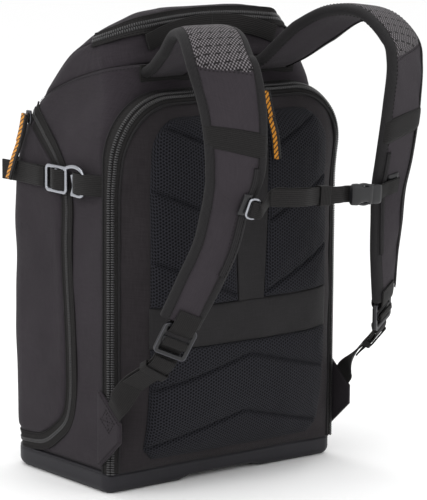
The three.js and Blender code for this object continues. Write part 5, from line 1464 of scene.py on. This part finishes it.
def sliders_and_pulls():
    a = math.radians(45)
    reach = DOOR_INSET + 3.6
    back = reach * (1 + ARCH_LIFT / DOOR_INSET)
    middle = np.array([31.0, SEAM_Y - GAP - back * math.sin(a), DOOR_TOP + reach * math.cos(a)])
    out = unit(np.array([0, -1.0, 1.0]))
    slider("door_slider_body", middle, np.array([1.0, 0, 0]), unit(np.array([0, 1.0, 1.0])), out, "door_slider")

    def rest(z, proud):
        return np.array([31.0, door_y(np.array(31.0), np.array(z)) - PAD_THICK - proud, z])

    top_z = DOOR_TOP + 7.4
    top_y = SEAM_Y - GAP - (21.5 + ARCH_LIFT * 21.5 / DOOR_INSET) * 0.9 * 0.92 - 1.6
    pull("door_pull_weave", [np.array([31.0, top_y, top_z]), rest(top_z - 20.4, 5), rest(top_z - 42, 4),
                             rest(top_z - 68, 4)], np.array([1.0, 0, 0]), "door_pull")
    x, y, z = -HALF_WIDTH * 0.977, 0.56 * HALF_DEPTH, 0.765 * BAG_HEIGHT
    slider("pocket_slider_body", np.array([x - 2.2, y, z]), np.array([0, 0, 1.0]), np.array([0, 1.0, 0]),
           np.array([-1.0, 0, 0]), "pocket_slider")
    x -= 4 + GAP + 1.3
    pull("pocket_pull_weave", [np.array([x, y + 1, z + 3]), np.array([x - 3.4, y + 4, z - 20.4]),
                               np.array([x - 9.9, y + 8, z - 43.5]), np.array([x - 14.3, y + 12, z - 65])],
         np.array([0, -1.0, -0.1]), "pocket_pull")


sliders_and_pulls()


# Floor, light and camera

def studio():
    """A plain pale level floor, one large soft light from the upper left, a weaker one from the right, one
    above, and an even white surrounding."""
    side = np.linspace(-12, 12, 41)
    x, y = np.meshgrid(side, side)
    quads, _, _ = grid_quads(len(side), len(side))
    mesh = bpy.data.meshes.new("studio_floor")
    mesh.from_pydata(np.stack([x, y, 0 * x], -1).reshape(-1, 3).tolist(), [], quads[:, ::-1].tolist())
    mesh.polygons.foreach_set("use_smooth", np.full(len(quads), True))
    paper = moulded("floor_paper", (253, 253, 253), scale=3.0, grain=0.001, spread=0.003, rough=1.0, specular=0.0)
    mesh.materials.append(paper)
    floor = bpy.data.objects.new("studio_floor", mesh)
    bpy.context.scene.collection.objects.link(floor)

    world = bpy.data.worlds.new("studio")
    bpy.context.scene.world = world
    world.use_nodes = True
    world.node_tree.nodes["Background"].inputs["Color"].default_value = (1, 1, 1, 1)
    world.node_tree.nodes["Background"].inputs["Strength"].default_value = 1.0

    def lamp(name, place, aim, size, power):
        data = bpy.data.lights.new(name, "AREA")
        data.shape, data.size, data.size_y, data.energy = "RECTANGLE", size[0], size[1], power
        lamp_obj = bpy.data.objects.new(name, data)
        look = unit(np.array(aim, float) - np.array(place, float))
        side = unit(np.cross(look, (0, 0, 1.0)))
        high = np.cross(side, look)
        turned = np.eye(4)
        turned[:3, 0], turned[:3, 1], turned[:3, 2], turned[:3, 3] = side, high, -look, place
        lamp_obj.matrix_world = Matrix(turned.tolist())
        bpy.context.scene.collection.objects.link(lamp_obj)

    lamp("key_light", (-2.2, -0.6, 1.9), (0, 0, 0.25), (1.6, 1.2), 20)
    lamp("fill_light", (0.9, -2.6, 1.2), (0, 0, 0.25), (1.2, 1.2), 5)
    lamp("top_light", (0.2, 0.2, 2.4), (0, 0, 0.4), (1.6, 1.6), 14)


def camera():
    """The photograph's camera: its direction, roll, distance and focal length."""
    a, e, roll = math.radians(-38.01), math.radians(9.973), math.radians(0.397)
    back = np.array([math.sin(a) * math.cos(e), -math.cos(a) * math.cos(e), math.sin(e)])
    right = np.array([math.cos(a), math.sin(a), 0])
    up = np.cross(back, right)
    right, up = (math.cos(roll) * right + math.sin(roll) * up, -math.sin(roll) * right + math.cos(roll) * up)
    place = np.eye(4)
    place[:3, 0], place[:3, 1], place[:3, 2] = right, up, back
    place[:3, 3] = np.array([0.04636, -0.012, 0.223307]) + back * 2.955662
    data = bpy.data.cameras.new("photo_view")
    data.sensor_fit, data.sensor_height, data.sensor_width = "AUTO", 36.0, 36.0
    data.lens = 198.66
    data.dof.use_dof = False
    obj = bpy.data.objects.new("photo_view", data)
    obj.matrix_world = Matrix(place.tolist())
    bpy.context.scene.collection.objects.link(obj)
    bpy.context.scene.camera = obj


studio()
camera()
bpy.context.scene.view_settings.view_transform = "Standard"
